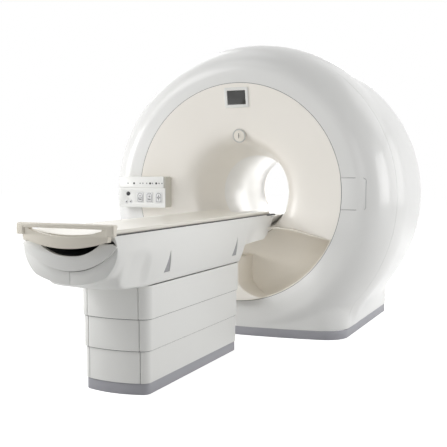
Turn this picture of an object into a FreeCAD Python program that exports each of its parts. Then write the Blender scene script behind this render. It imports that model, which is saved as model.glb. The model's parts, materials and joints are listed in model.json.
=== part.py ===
"""Whole-body magnetic resonance scanner: magnet with covers, and its patient table.

Millimetres. +Z up, +Y from the table's foot end towards the rear of the magnet.
The origin lies on the floor, straight below the middle of the magnet.
"""

import FreeCAD
import Part

import math
import os

from FreeCAD import Placement, Rotation, Vector

PARTS_FOLDER = "parts"

# name, millimetres (or a plain number, or a formula of the sheet), what it is
DIMENSIONS = [
    ("bore_height", 1128, "bore axis above the floor"),
    ("face_depth", 880, "magnet middle to the flat ring face"),
    ("rear_room", 105, "magnet vessel to the back face"),
    ("cover_length", "=vessel_start_depth + vessel_length + rear_room", "ring face to the back face"),
    ("cover_wall", 9, "moulded cover thickness"),
    ("ring_radius", 858, "seam between ring and inner cover"),
    ("ring_flat_radius", 960, "where the ring face starts to round"),
    ("drum_radius", 1243, "largest radius of the drum"),
    ("drum_peak_depth", 558, "ring face to the largest radius"),
    ("drum_drop", 37, "how far the drum's centre sinks"),
    ("drum_front_power", 2.1, "roundness of the front, 2 is an ellipse"),
    ("drum_rear_power", 2.6, "roundness of the rear"),
    ("back_radius", 1060, "radius where the drum meets the back face"),
    ("cover_joint_depth", 285, "ring face to the joint of the drum covers"),
    ("cover_gap", 0.6, "gap between neighbouring covers"),
    ("plinth_half_width", 849, "half width of the plinth"),
    ("plinth_front_depth", 4, "ring face to the plinth's front at its middle"),
    ("plinth_bow", 98, "how far the plinth's front is bowed"),
    ("plinth_corner", 185, "plinth front corner radius"),
    ("plinth_back_corner", 60, "plinth back corner radius"),
    ("plinth_height", "=bore_height - 488", "height of the plinth inside the drum"),
    ("skirt_height", 68, "height of the dark floor skirt"),
    ("skirt_wall", 14, "thickness of the floor skirt"),
    ("tunnel_radius", 300, "patient tunnel"),
    ("tunnel_wall", 6, "thickness of the tunnel liner"),
    ("tunnel_front_depth", 470, "ring face to the tunnel's front edge"),
    ("tunnel_back_depth", "=cover_length - 193", "ring face to the tunnel's back edge"),
    ("funnel_lip_radius", 432, "inner edge of the dished inner cover"),
    ("funnel_dish_depth", 76, "depth of the dished inner cover"),
    ("funnel_throat_radius", 362, "throat radius at the wall of the docking bay"),
    ("bay_depth", 250, "ring face to the wall of the docking bay"),
    ("bay_flat_radius", 640, "flat part of the docking bay's wall"),
    ("bay_roof_side", "=bore_height - 360", "height of the bay roof at the ring"),
    ("bay_roof_middle", "=bore_height - 267", "height of the bay roof at the middle"),
    ("back_opening_radius", 620, "opening in the back face"),
    ("vessel_radius", 900, "magnet vessel"),
    ("vessel_bore", 452, "bore of the magnet vessel"),
    ("vessel_start_depth", 285, "ring face to the vessel"),
    ("vessel_length", 1210, "magnet vessel length"),
    ("vessel_chamfer", 40, "bevel on the vessel's edges"),
    ("vessel_wall", 30, "walls and shields of the magnet vessel, as one"),
    ("coil_bore", 350, "bore of the gradient coil"),
    ("coil_start_depth", "=vessel_start_depth + 40", "ring face to the gradient coil"),
    ("coil_length", "=vessel_length - 120", "gradient coil length"),
    ("body_coil_bore", 315, "bore of the body coil"),
    ("body_coil_length", "=vessel_length - 490", "body coil length"),
    ("seat_gap", 0.3, "gap at a seat"),
    ("saddle_half_width", 520, "half width of a magnet foot"),
    ("saddle_thickness", 70, "thickness of a magnet foot"),
    ("saddle_inset", 110, "vessel end to the foot"),
    ("saddle_reach", "=bore_height - 748", "height where a foot's cheek ends"),
    ("bridge_top", "=bore_height - 188", "top of the bridge in the tunnel"),
    ("bridge_wall", 8, "wall of the bridge"),
    ("bridge_front_depth", 262, "ring face to the bridge"),
    ("bridge_back_depth", "=cover_length - 120", "ring face to the end of the bridge"),
    ("display_radius", 744, "display above the bore axis"),
    ("display_width", 202, "display frame width"),
    ("display_height", 158, "display frame height"),
    ("display_frame", 24, "display frame border"),
    ("display_proud", 9, "display frame thickness"),
    ("lamp_radius_out", 447, "aiming lamp above the bore axis"),
    ("lamp_ring_radius", 55, "aiming lamp ring"),
    ("lamp_ring_width", 9, "width of the lamp ring"),
    ("lamp_proud", 5, "lamp ring thickness"),
    ("hatch_low", "=bore_height - 117", "bottom of the side hatch"),
    ("hatch_high", "=bore_height + 117", "top of the side hatch"),
    ("hatch_outer", 1034, "outer edge of the side hatch"),
    ("hatch_proud", 4, "side hatch thickness"),
    ("panel_left", -1016, "outer edge of the control panel"),
    ("panel_right", -590, "inner edge of the control panel"),
    ("panel_low", "=bore_height - 128", "bottom of the control panel"),
    ("panel_high", "=bore_height + 124", "top of the control panel"),
    ("panel_split", "=bore_height + 32", "joint between the panel's two faces"),
    ("panel_reach", 70, "panel front ahead of the ring face"),
    ("panel_face", 14, "thickness of a panel face"),
    ("panel_corner", 16, "panel corner radius"),
    ("button_gap", 0.4, "gap round a button"),
    ("button_proud", 3, "how far a button stands out"),
    ("button_stroke", 1.5, "button travel"),
    ("key_width", 62, "pictogram key width"),
    ("key_height", 84, "pictogram key height"),
    ("key_pitch", 86, "pictogram key spacing"),
    ("arrow_size", 26, "arrow key size"),
    ("knob_radius", 17, "round button radius"),
    ("tower_half_width", 46, "half width of the docking tower"),
    ("tower_reach", 60, "tower front ahead of the ring face"),
    ("tower_top", "=bore_height - 506", "top of the docking tower"),
    ("tower_flare_half", 260, "half width of the tower's foot"),
    ("tower_flare_low", "=bore_height - 815", "where the flare becomes level"),
    ("tower_flare_rise", 130, "height over which the foot flares"),
    ("column_front_depth", "=hull_start_depth - 471", "ring face to the column's front corners"),
    ("column_back_depth", 500, "ring face to the column's back"),
    ("column_bow", 42, "bow of the column's front"),
    ("column_corner", 46, "column front corner radius"),
    ("column_back_corner", 20, "column back corner radius"),
    ("skirt_half_width", 212, "half width of the column's skirt"),
    ("lower_half_width", 217, "half width of the lower shroud"),
    ("shroud_wall", 4, "shroud thickness"),
    ("shroud_step", 4.6, "clear step between one shroud and the next"),
    ("lower_lip", 68, "bottom of the lower shroud"),
    ("middle_lip", 259, "bottom of the middle shroud"),
    ("upper_lip", 446, "bottom of the upper shroud"),
    ("hull_floor", "=bore_height - 488", "underside of the table body above the column"),
    ("shroud_overlap", 16, "how far a shroud reaches up inside the next"),
    ("floor_plate", 12, "base plate thickness"),
    ("anchor_radius", 7, "floor anchor hole radius"),
    ("anchor_half_x", 150, "half the anchor spacing across"),
    ("anchor_half_y", 540, "half the anchor spacing along"),
    ("lift_travel", 300, "how far the table body goes down"),
    ("mast_half_x", 120, "half width of the outer mast"),
    ("mast_half_y", 260, "half length of the outer mast"),
    ("mast_wall", 12, "mast wall"),
    ("mast_corner", 16, "mast corner radius"),
    ("mast_gap", 0.5, "gap between mast stages"),
    ("hull_start_depth", 2258, "ring face to the table's foot end"),
    ("hull_rim", "=bore_height - 170", "top edge of the table body"),
    ("nose_room_front", 276, "half width of the nose's opening at the ring"),
    ("nose_room_back", 258, "half width of the nose's opening at the bay wall"),
    ("hull_wall", 8, "table body wall"),
    ("recess_front_depth", -1651, "ring face to the front hand recesses"),
    ("recess_rear_depth", -648, "ring face to the rear hand recesses"),
    ("recess_low", "=bore_height - 423", "bottom of a hand recess"),
    ("recess_high", "=bore_height - 293", "top of a hand recess"),
    ("recess_depth", 5, "depth of a hand recess"),
    ("channel_half", 262, "half width of the channel"),
    ("ledge_height", "=bore_height - 208", "ledges inside the channel"),
    ("ledge_half", 200, "inner edge of the ledges"),
    ("trough_bottom", "=bore_height - 282", "lowest line of the channel"),
    ("trough_wall", 5, "channel liner thickness"),
    ("fascia_wall", 26, "end fascia thickness, of which 12 stand proud"),
    ("fascia_half", 297, "half width of the end fascia"),
    ("fascia_low", "=bore_height - 363", "lowest line of the end fascia"),
    ("fascia_middle", "=bore_height - 223", "where the fascia's lower edge meets its ends"),
    ("board_half", 243, "half width of the tabletop"),
    ("board_flat_half", 222, "half width of the tabletop's flat underside"),
    ("board_edge", "=bore_height - 143", "top of the tabletop's edges"),
    ("board_side", "=bore_height - 165", "where the tabletop's side starts"),
    ("board_dip", 26, "depth of the tabletop's dish"),
    ("board_gap", 0.6, "gap under the tabletop"),
    ("board_head_depth", -185, "ring face to the tabletop's head end"),
    ("grip_reach", 44, "grip bar ahead of the foot end"),
    ("grip_half", 306, "half length of the grip bar"),
    ("grip_low", "=bore_height - 132", "underside of the grip bar"),
    ("grip_high", "=bore_height - 106", "top of the grip bar"),
    ("bow_thickness", 34, "thickness of the bow under the grip bar"),
    ("bow_half", 268, "half width of the bow"),
    ("bow_side", 34, "width of the bow's sides"),
    ("bow_smile", 36, "sag of the grip's hand opening"),
    ("bow_low", "=bore_height - 239", "lowest line of the bow"),
    ("roller_radius", 20, "support roller"),
    ("roller_half", 115, "half length of a roller"),
    ("cheek_thickness", 12, "side cheek of a roller cradle"),
    ("cradle_half", 22, "half length of a roller cradle"),
    ("axle_radius", 6, "roller axle"),
    ("axle_gap", 0.08, "running gap of the axles"),
    ("roller_front_depth", 420, "ring face to the first roller"),
    ("roller_rear_depth", 92, "ring face to the second roller"),
]


# --- the document, its sheet, and how sub-parts are added ---------------------

document = FreeCAD.newDocument("scanner")
sheet = document.addObject("Spreadsheet::Sheet", "Sizes")
for row_number, (name, value, note) in enumerate(DIMENSIONS, start=1):
    sheet.set(f"A{row_number}", note)
    sheet.set(f"B{row_number}", str(value))
    sheet.setAlias(f"B{row_number}", name)
document.recompute()

sub_parts = []


class Length:
    """A size from the sheet, kept with the expression that gives it."""

    def __init__(self, value, text):
        self.value = float(value)
        self.text = text

    def __add__(self, other):
        return Length(self.value + number(other), f"({self.text} + {text_of(other)})")

    def __sub__(self, other):
        return Length(self.value - number(other), f"({self.text} - {text_of(other)})")

    def __mul__(self, other):
        return Length(self.value * number(other), f"({self.text} * {text_of(other)})")

    def __truediv__(self, other):
        return Length(self.value / number(other), f"({self.text} / {text_of(other)})")

    def __neg__(self):
        return Length(-self.value, f"(0 - {self.text})")


def number(size):
    """The plain value of a size."""
    return size.value if isinstance(size, Length) else float(size)


def text_of(size):
    """The expression of a size."""
    return size.text if isinstance(size, Length) else f"{float(size):.6f}"


def size_of(name):
    """A driving dimension by its name."""
    return Length(sheet.get(name), f"Sizes.{name}")


def mm(name):
    """A driving dimension as a plain number."""
    return float(sheet.get(name))


def at_depth(name):
    """Where a depth behind the ring face lies along Y."""
    return mm(name) - mm("face_depth")


def depth(name):
    """The same as an expression."""
    return size_of(name) - size_of("face_depth")


def place(item, x=0, y=0, z=0):
    """Binds a primitive's position to the sheet."""
    position = Vector(number(x), number(y), number(z))
    item.Placement = Placement(position, item.Placement.Rotation)
    for axis, size in (("x", x), ("y", y), ("z", z)):
        if isinstance(size, Length):
            item.setExpression(f"Placement.Base.{axis}", size.text)


def keep(item, label):
    """Names an object and lists it as a sub-part."""
    item.Label = label
    sub_parts.append(item)
    return item


def feature(label, shape):
    """A sub-part whose free form is worked out here from the sheet's sizes."""
    item = document.addObject("Part::Feature", "Form")
    item.Shape = shape
    return keep(item, label)


# --- parametric bodies --------------------------------------------------------


def new_body():
    return document.addObject("PartDesign::Body", "Body")


def new_sketch(body, role, offset=None):
    """A sketch on one of the body's own origin planes, moved along its normal."""
    sketch = body.newObject("Sketcher::SketchObject", "Sketch")
    planes = [f for f in body.Origin.OriginFeatures if f.Role == role]
    sketch.AttachmentSupport = (planes[0], [""])
    sketch.MapMode = "FlatFace"
    if offset is not None:
        sketch.AttachmentOffset = Placement(Vector(0, 0, number(offset)), Rotation())
        sketch.setExpression("AttachmentOffset.Base.z", text_of(offset))
    return sketch


def fix_point(sketch, edge, end, x, y):
    """Ties the start (1) or end (2) of an edge to a place given by sizes."""
    import Sketcher

    for kind, size in (("DistanceX", x), ("DistanceY", y)):
        if abs(number(size)) < 1e-9 and not isinstance(size, Length):
            other = "PointOnObject"
            axis = -2 if kind == "DistanceX" else -1
            sketch.addConstraint(Sketcher.Constraint(other, edge, end, axis))
            continue
        index = sketch.addConstraint(
            Sketcher.Constraint(kind, -1, 1, edge, end, number(size))
        )
        if isinstance(size, Length):
            sketch.setExpression(f"Constraints[{index}]", size.text)


def outline(sketch, points):
    """A closed outline of straight runs through points given by sizes."""
    import Sketcher

    corners = [Vector(number(x), number(y), 0) for x, y in points]
    count, first = len(corners), sketch.GeometryCount
    for i in range(count):
        start, end = corners[i], corners[(i + 1) % count]
        sketch.addGeometry(Part.LineSegment(start, end), False)
    for i in range(count):
        follow = first + (i + 1) % count
        sketch.addConstraint(Sketcher.Constraint("Coincident", first + i, 2, follow, 1))
    for i, (x, y) in enumerate(points):
        fix_point(sketch, first + i, 1, x, y)


def turned(label, points, hollow=()):
    """A body turned round the bore axis. Points are (radius, depth along Y)."""
    body = new_body()
    sketch = new_sketch(body, "YZ_Plane")
    outline(sketch, [(y, size_of("bore_height") + r) for r, y in points])
    if hollow:
        outline(sketch, [(y, size_of("bore_height") + r) for r, y in hollow])
    axis = new_sketch(body, "YZ_Plane")
    axis.addGeometry(Part.LineSegment(Vector(0, 0, 0), Vector(100, 0, 0)), False)
    fix_point(axis, 0, 1, 0, size_of("bore_height"))
    fix_point(axis, 0, 2, 100, size_of("bore_height"))
    turn = body.newObject("PartDesign::Revolution", "Turn")
    turn.Profile = sketch
    turn.ReferenceAxis = (axis, ["Edge1"])
    turn.Angle = 360
    return keep(body, label)


def tube(label, inner, outer, start, end):
    """A plain tube on the bore axis."""
    points = [(inner, start), (outer, start), (outer, end), (inner, end)]
    return turned(label, points)


# --- free forms -----------------------------------------------------------------


def block(x_low, x_high, y_low, y_high, z_low, z_high):
    corner = Vector(x_low, y_low, z_low)
    return Part.makeBox(x_high - x_low, y_high - y_low, z_high - z_low, corner)


def bore_cylinder(radius, y_low, y_high):
    start = Vector(0, y_low, mm("bore_height"))
    return Part.makeCylinder(radius, y_high - y_low, start, Vector(0, 1, 0))


def turned_about(height, points):
    """The solid that a closed (radius, y) outline sweeps round a level axis."""
    corners = [Vector(0, y, height + r) for r, y in points]
    face = Part.Face(Part.makePolygon(corners + corners[:1]))
    return face.revolve(Vector(0, 0, height), Vector(0, 1, 0), 360)


def swept_round(points):
    """The same about the bore axis."""
    return turned_about(mm("bore_height"), points)


def fillet_upright(solid, test, radius):
    """Rounds the vertical edges that pass the test."""
    chosen = []
    for edge in solid.Edges:
        a, b = edge.firstVertex().Point, edge.lastVertex().Point
        if math.hypot(a.x - b.x, a.y - b.y) < 1e-6 and test(a):
            chosen.append(edge)
    return solid.makeFillet(radius, chosen)


def bowed_block(half, y_front, bow, y_back, z_low, z_high, corner, back_corner):
    """An upright block whose front, at low Y, is bowed outwards."""
    left, right = Vector(-half, y_front + bow, z_low), Vector(half, y_front + bow, z_low)
    front = Part.Arc(left, Vector(0, y_front, z_low), right).toShape()
    back_right, back_left = Vector(half, y_back, z_low), Vector(-half, y_back, z_low)
    rest = Part.makePolygon([right, back_right, back_left, left])
    wire = Part.Wire([front] + rest.Edges)
    solid = Part.Face(wire).extrude(Vector(0, 0, z_high - z_low))
    middle = (y_front + y_back) / 2
    solid = fillet_upright(solid, lambda p: p.y < middle, corner)
    return fillet_upright(solid, lambda p: p.y > middle, back_corner)


def rounded_quarter(start, widest, reach, power, count):
    """(radius, depth) points of a quarter superellipse from its rim to its widest."""
    points = []
    for i in range(count + 1):
        turn = math.radians(90 * i / count)
        radius = start + (widest - start) * math.sin(turn) ** (2 / power)
        points.append((radius, reach * (1 - math.cos(turn) ** (2 / power))))
    return points


def drum(inset):
    """The drum's filled form: a superellipse each side of its widest line, turned."""
    peak, length = mm("drum_peak_depth"), mm("cover_length")
    widest, count = mm("drum_radius") - inset, 3 if inset else 6
    face, centre = -mm("face_depth"), mm("bore_height") - mm("drum_drop")
    front_start, rear_start = mm("ring_flat_radius") - inset, mm("back_radius") - inset
    front_reach, rear_reach = peak - inset, length - peak - inset
    front = rounded_quarter(front_start, widest, front_reach, mm("drum_front_power"), count)
    rear = rounded_quarter(rear_start, widest, rear_reach, mm("drum_rear_power"), count)
    skin = [(r, face + inset + d) for r, d in front]
    skin += [(r, face + length - inset - d) for r, d in rear[-2::-1]]
    ends = [(0, face + length - inset), (0, face + inset)]
    return turned_about(centre, skin + ends)


def plinth(inset, z_low, z_high):
    """The plinth's filled form."""
    return bowed_block(
        mm("plinth_half_width") - inset,
        at_depth("plinth_front_depth") + inset,
        mm("plinth_bow"),
        at_depth("cover_length") - inset,
        z_low,
        z_high,
        mm("plinth_corner") - inset,
        mm("plinth_back_corner") - inset,
    )


def cover_body(inset):
    """Drum and plinth in one, down to the top of the floor skirt."""
    low = mm("skirt_height")
    foot = plinth(inset, low - (1 if inset else 0), mm("plinth_height") - inset)
    reach = mm("drum_radius") + 10
    room = block(-reach, reach, -2000, 2000, low - (1 if inset else 0), 3000)
    return drum(inset).common(room).fuse(foot).removeSplitter()


def make_covers():
    """The ring and rear covers: one moulded skin, split at a joint."""
    wall = mm("cover_wall")
    skin = cover_body(0).cut(cover_body(wall))
    face = -mm("face_depth")
    ring_hole = bore_cylinder(mm("ring_radius"), face - 50, at_depth("bay_depth"))
    back_hole = bore_cylinder(
        mm("back_opening_radius"), at_depth("cover_length") - 60, at_depth("cover_length") + 50
    )
    skin = skin.cut(ring_hole).cut(back_hole)
    joint = at_depth("cover_joint_depth")
    gap = mm("cover_gap") / 2
    front_room = block(-2000, 2000, -2000, joint - gap, -10, 3000)
    back_room = block(-2000, 2000, joint + gap, 2000, -10, 3000)
    feature("ring_cover", skin.common(front_room))
    feature("rear_cover", skin.common(back_room))
    low_skirt = plinth(0, 0, mm("skirt_height")).cut(
        plinth(mm("skirt_wall"), -1, mm("skirt_height") + 1)
    )
    feature("plinth_skirt", low_skirt)


# --- inner covers, tunnel and magnet --------------------------------------------


def funnel_profile(inset, count):
    """(radius, y) points of the dished front cover from its rim to the tunnel."""
    face = -mm("face_depth")
    rim, lip = mm("ring_radius") - mm("cover_gap"), mm("funnel_lip_radius")
    throat, tunnel = mm("funnel_throat_radius"), mm("tunnel_radius")
    dish, bay = mm("funnel_dish_depth"), mm("bay_depth")
    points = [(rim, face + inset), (lip + inset, face + dish + inset)]
    for i in range(1, count + 1):
        turn = math.radians(90 * i / count)
        radius = lip - (lip - throat) * math.sin(turn)
        points.append((radius + inset, face + bay - (bay - dish) * math.cos(turn)))
    points.append((tunnel + inset, face + mm("tunnel_front_depth")))
    return points


# the bay roof: distance from the middle over the ring's radius, share of the roof's rise
ROOF_LINE = [(0.40, 1), (0.50, 0.96), (0.60, 0.81), (0.70, 0.56), (0.80, 0.35), (0.90, 0.17), (1, 0)]


def bay_room(inset, front, back):
    """The air of the docking bay: a bowl, round at its foot, below a falling roof."""
    rim, flat = mm("ring_radius") - mm("cover_gap") - inset, mm("bay_flat_radius") - inset
    bowl = [(0, front)]
    for i in range(5):
        turn = math.radians(22.5 * i)
        radius = flat + (rim - flat) * math.cos(turn) ** 0.7
        bowl.append((radius, front + (back - front) * math.sin(turn) ** 0.85))
    return swept_round(bowl + [(0, back)]).common(below_roof(inset, front, back))


def below_roof(inset, front, back):
    """Everything under the docking bay's roof, level in the middle and falling to the sides."""
    side, middle = mm("bay_roof_side") - inset, mm("bay_roof_middle") - inset
    half = mm("ring_radius")
    right = [(half * x, side + (middle - side) * share) for x, share in ROOF_LINE]
    corners = [(-half, 0), (half, 0)] + right[::-1] + [(-x, z) for x, z in right]
    wire = Part.makePolygon([Vector(x, front, z) for x, z in corners + corners[:1]])
    return Part.Face(wire).extrude(Vector(0, back - front, 0))


def nose_room(front, back):
    """The upright opening through which the table's nose comes down into the bay."""
    wide, narrow, low = mm("nose_room_front"), mm("nose_room_back"), mm("hull_floor") - 20
    corners = [(-wide, front), (wide, front), (narrow, back), (-narrow, back)]
    wire = Part.makePolygon([Vector(x, y, low) for x, y in corners + corners[:1]])
    return Part.Face(wire).extrude(Vector(0, 0, mm("hull_rim") - low))


def make_inner_covers():
    """The dished front cover, the docking bay below it and the rear funnel."""
    wall = mm("cover_wall")
    face, bay = -mm("face_depth"), at_depth("bay_depth")
    outer, inner = funnel_profile(0, 4), funnel_profile(wall, 2)
    whole = swept_round(outer + inner[::-1])
    low = below_roof(0, face - 1, bay)
    nose = nose_room(face - 20, bay)
    feature("inner_cover", whole.cut(low).cut(nose))
    throat = bore_cylinder(mm("funnel_throat_radius") + wall, bay - 5, bay + 40)
    shell = bay_room(0, face, bay + wall).cut(bay_room(wall, face - 1, bay))
    feature("docking_bay", shell.cut(throat).cut(nose))
    feature("docking_tower", tower_form())
    feature("back_cover", swept_round(back_profile()))


def tower_form():
    """The docking tower: a narrow post with a widely flared foot."""
    face, wall = -mm("face_depth"), mm("cover_wall")
    front, back = face - mm("tower_reach"), at_depth("bay_depth")
    half, wide, top = mm("tower_half_width"), mm("tower_flare_half"), mm("tower_top")
    low, rise = mm("tower_flare_low"), mm("tower_flare_rise")
    right = [(half, top)]
    for i in range(7):
        turn = math.radians(15 * i)
        x = wide - (wide - half) * math.cos(turn) ** 1.3
        right.append((x, low + rise * (1 - math.sin(turn))))
    right.append((wide, 200))
    points = right + [(-x, z) for x, z in right[::-1]]
    corners = [Vector(x, front, z) for x, z in points]
    tower = Part.Face(Part.makePolygon(corners + corners[:1]))
    tower = tower.extrude(Vector(0, back - front, 0))
    ahead = bore_cylinder(mm("ring_radius") - mm("cover_gap") - wall, front - 1, face)
    return tower.common(bay_room(wall, face - 1, back).fuse(ahead)).removeSplitter()


def back_profile():
    """(radius, y) outline of the rear funnel."""
    wall = mm("cover_wall")
    rim, tunnel = mm("back_opening_radius") - mm("cover_gap"), mm("tunnel_radius")
    start, end = at_depth("tunnel_back_depth"), at_depth("cover_length")
    outer = []
    for i in range(0, 5):
        turn = math.radians(22.5 * i)
        radius = rim - (rim - tunnel) * math.cos(turn) ** 0.9
        outer.append((radius, end - (end - start) * (1 - math.sin(turn)) ** 1.1))
    inner = [(tunnel + wall, start), (outer[2][0] + wall, outer[2][1] - wall), (rim, end - wall)]
    return outer + inner[::-1]


def make_magnet():
    """The magnet vessel, its coils, the tunnel and the feet."""
    face = size_of("face_depth")
    start = size_of("vessel_start_depth") - face
    end = start + size_of("vessel_length")
    bore, rim = size_of("vessel_bore"), size_of("vessel_radius")
    bevel = size_of("vessel_chamfer")
    vessel = [
        (bore, start),
        (rim - bevel, start),
        (rim, start + bevel),
        (rim, end - bevel),
        (rim - bevel, end),
        (bore, end),
    ]
    wall = size_of("vessel_wall")
    hollow = [
        (bore + wall, start + wall),
        (rim - wall - bevel, start + wall),
        (rim - wall, start + wall + bevel),
        (rim - wall, end - wall - bevel),
        (rim - wall - bevel, end - wall),
        (bore + wall, end - wall),
    ]
    turned("magnet_vessel", vessel, hollow)
    coil_start = size_of("coil_start_depth") - face
    coil_end = coil_start + size_of("coil_length")
    tube("gradient_coil", size_of("coil_bore"), bore - size_of("seat_gap"), coil_start, coil_end)
    half = size_of("body_coil_length") / 2
    tube("body_coil", size_of("body_coil_bore"), size_of("coil_bore") - size_of("seat_gap"), -half, half)
    tunnel = size_of("tunnel_radius")
    front = size_of("tunnel_front_depth") - face
    back = size_of("tunnel_back_depth") - face
    tube("tunnel_liner", tunnel, tunnel + size_of("tunnel_wall"), front, back)
    make_bridge()
    front_foot = number(start) + mm("saddle_inset")
    rear_foot = number(end) - mm("saddle_inset")
    feature("magnet_foot_front", saddle(front_foot))
    feature("magnet_foot_rear", saddle(rear_foot))
    half, thick = mm("saddle_half_width") + 20, mm("saddle_thickness")
    plate = block(-half, half, front_foot - thick, rear_foot + thick, 0, mm("floor_plate"))
    feature("magnet_floor_plate", plate)


def make_bridge():
    """The flat-topped bridge that carries the tabletop through the tunnel."""
    front, back = at_depth("bridge_front_depth"), at_depth("bridge_back_depth")
    room = block(-400, 400, front, back, 0, mm("bridge_top"))
    solid = bore_cylinder(mm("tunnel_radius") - mm("seat_gap"), front, back).common(room)
    wall = mm("bridge_wall")
    hollow_room = block(-400, 400, front - 1, back + 1, 0, mm("bridge_top") - wall)
    hollow = bore_cylinder(mm("tunnel_radius") - wall, front - 1, back + 1).common(hollow_room)
    feature("tunnel_bridge", solid.cut(hollow))


def saddle(middle):
    """A steel foot whose top follows the vessel."""
    half, thick = mm("saddle_half_width"), mm("saddle_thickness")
    low, high = mm("floor_plate"), mm("saddle_reach")
    plate = block(-half, half, middle - thick / 2, middle + thick / 2, low, high)
    seat = bore_cylinder(mm("vessel_radius") + mm("seat_gap"), middle - thick, middle + thick)
    arch = block(-half * 0.45, half * 0.45, middle - thick, middle + thick, -1, 90)
    return plate.cut(seat).cut(arch)


# --- fittings on the covers ------------------------------------------------------


def behind_dish():
    """The dished cover and what lies behind it."""
    front = funnel_profile(0, 4)
    return swept_round(front + [(front[0][0], front[-1][1])])


def on_dish(shape, radius):
    """Moves a fitting made round the origin, facing -Y, onto the dished cover."""
    rim, lip = mm("ring_radius") - mm("cover_gap"), mm("funnel_lip_radius")
    slope = mm("funnel_dish_depth") / (rim - lip)
    behind = (rim - radius) * slope
    place_at = Vector(0, behind - mm("face_depth"), mm("bore_height") + radius)
    tilt = math.degrees(math.atan(slope))
    shape.Placement = Placement(place_at, Rotation(Vector(1, 0, 0), tilt))
    return shape.cut(behind_dish())


def make_fittings():
    """Display, aiming lamp and side hatch."""
    wide, high, edge = mm("display_width"), mm("display_height"), mm("display_frame")
    proud = mm("display_proud")
    frame = along_y_fillet(block(-wide / 2, wide / 2, -proud, 6, -high / 2, high / 2), 8)
    hole = block(-wide / 2 + edge, wide / 2 - edge, -proud - 1, 9, -high / 2 + edge, high / 2 - edge)
    feature("display_frame", on_dish(frame.cut(hole), mm("display_radius")))
    gap = mm("seat_gap")
    glass = block(
        -wide / 2 + edge + gap,
        wide / 2 - edge - gap,
        -proud + 3,
        6,
        -high / 2 + edge + gap,
        high / 2 - edge - gap,
    )
    feature("display_glass", on_dish(glass, mm("display_radius")))
    ring, width, lift = mm("lamp_ring_radius"), mm("lamp_ring_width"), mm("lamp_proud")
    forward = Vector(0, -1, 0)
    outer = Part.makeCylinder(ring, lift + 4, Vector(0, 4, 0), forward)
    inner = Part.makeCylinder(ring - width, lift + 9, Vector(0, 6, 0), forward)
    feature("lamp_ring", on_dish(outer.cut(inner), mm("lamp_radius_out")))
    lens = Part.makeCylinder(ring - width - gap, lift + 2, Vector(0, 4, 0), forward)
    feature("lamp_lens", on_dish(lens, mm("lamp_radius_out")))
    feature("side_hatch", hatch_form())


def hatch_form():
    """A blank hatch lying on the ring cover, bounded by the seam."""
    low, high, outer = mm("hatch_low"), mm("hatch_high"), mm("hatch_outer")
    room = block(mm("ring_radius") * 0.9, outer, -mm("face_depth") - 20, -300, low, high)
    corner = lambda p: p.x > mm("ring_radius")
    rounded = [
        e
        for e in room.Edges
        if abs(e.firstVertex().Point.y - e.lastVertex().Point.y) > 1 and corner(e.firstVertex().Point)
    ]
    room = room.makeFillet(22, rounded)
    proud = mm("hatch_proud")
    lifted = drum(0).translated(Vector(0, -proud, 0))
    seam = bore_cylinder(mm("ring_radius"), -mm("face_depth") - 50, 0)
    return lifted.common(room).cut(drum(0)).cut(seam)


def panel_air():
    """What lies in front of the covers behind the control panel."""
    rim = mm("ring_radius") - mm("cover_gap")
    lip, dish = mm("funnel_lip_radius"), mm("funnel_dish_depth")
    face = -mm("face_depth")
    return swept_round([(0, face - 1), (rim, face), (lip, face + dish), (0, face + dish)])


def make_control_panel():
    """The control panel on the left of the ring: bracket, two faces and keys."""
    left, right = mm("panel_left"), mm("panel_right")
    low, high, split = mm("panel_low"), mm("panel_high"), mm("panel_split")
    front = -mm("face_depth") - mm("panel_reach")
    face, gap = mm("panel_face"), mm("cover_gap") / 2
    side = mm("panel_corner")
    whole = block(left, right, front + face, -mm("face_depth") + 90, low, high)
    whole = along_y_fillet(whole, side)
    solid_covers = drum(0).cut(panel_air())
    bracket = whole.cut(solid_covers)
    bracket = max(bracket.Solids, key=lambda s: s.Volume)
    feature("panel_bracket", bracket)
    upper = block(left, right - 12, front, front + face, split + gap, high)
    lower = block(left, right, front, front + face, low, split - gap)
    upper, lower = along_y_fillet(upper, 10), along_y_fillet(lower, 10)
    keys = key_places()
    hole_gap = mm("button_gap")
    for name, x, z, half_x, half_z in keys:
        hole = key_form(x, z, half_x + hole_gap, half_z + hole_gap, front - 1, front + face + 1)
        lower = lower.cut(hole)
    feature("panel_upper", upper)
    feature("panel_lower", lower)
    back = front + face - mm("button_stroke") - 0.2
    for name, x, z, half_x, half_z in keys:
        feature(name, key_form(x, z, half_x, half_z, front - mm("button_proud"), back))


def key_places():
    """(name, x, z, half width, half height) of the lower face's keys."""
    left, low = mm("panel_left"), mm("panel_low")
    keys = []
    half_w, half_h = mm("key_width") / 2, mm("key_height") / 2
    first = left + 196
    for i in range(3):
        keys.append((f"pictogram_key_{i + 1}", first + i * mm("key_pitch"), low + 82, half_w, half_h))
    half = mm("arrow_size") / 2
    keys.append(("arrow_key_1", left + 66, low + 46, half, half))
    keys.append(("arrow_key_2", left + 106, low + 46, half, half))
    keys.append(("round_key", left + 84, low + 112, mm("knob_radius"), 0))
    return keys


def key_form(x, z, half_x, half_z, y_low, y_high):
    """A key's block, or a round one where it has no half height."""
    if half_z < 2:
        start = Vector(x, y_low, z)
        return Part.makeCylinder(half_x, y_high - y_low, start, Vector(0, 1, 0))
    return along_y_fillet(block(x - half_x, x + half_x, y_low, y_high, z - half_z, z + half_z), 5)


def along_y_fillet(solid, radius):
    """Rounds a block's edges that run along Y."""
    edges = []
    for edge in solid.Edges:
        a, b = edge.firstVertex().Point, edge.lastVertex().Point
        if math.hypot(a.x - b.x, a.z - b.z) < 1e-6:
            edges.append(edge)
    return solid.makeFillet(radius, edges)


# --- the column of the table ------------------------------------------------------


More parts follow.
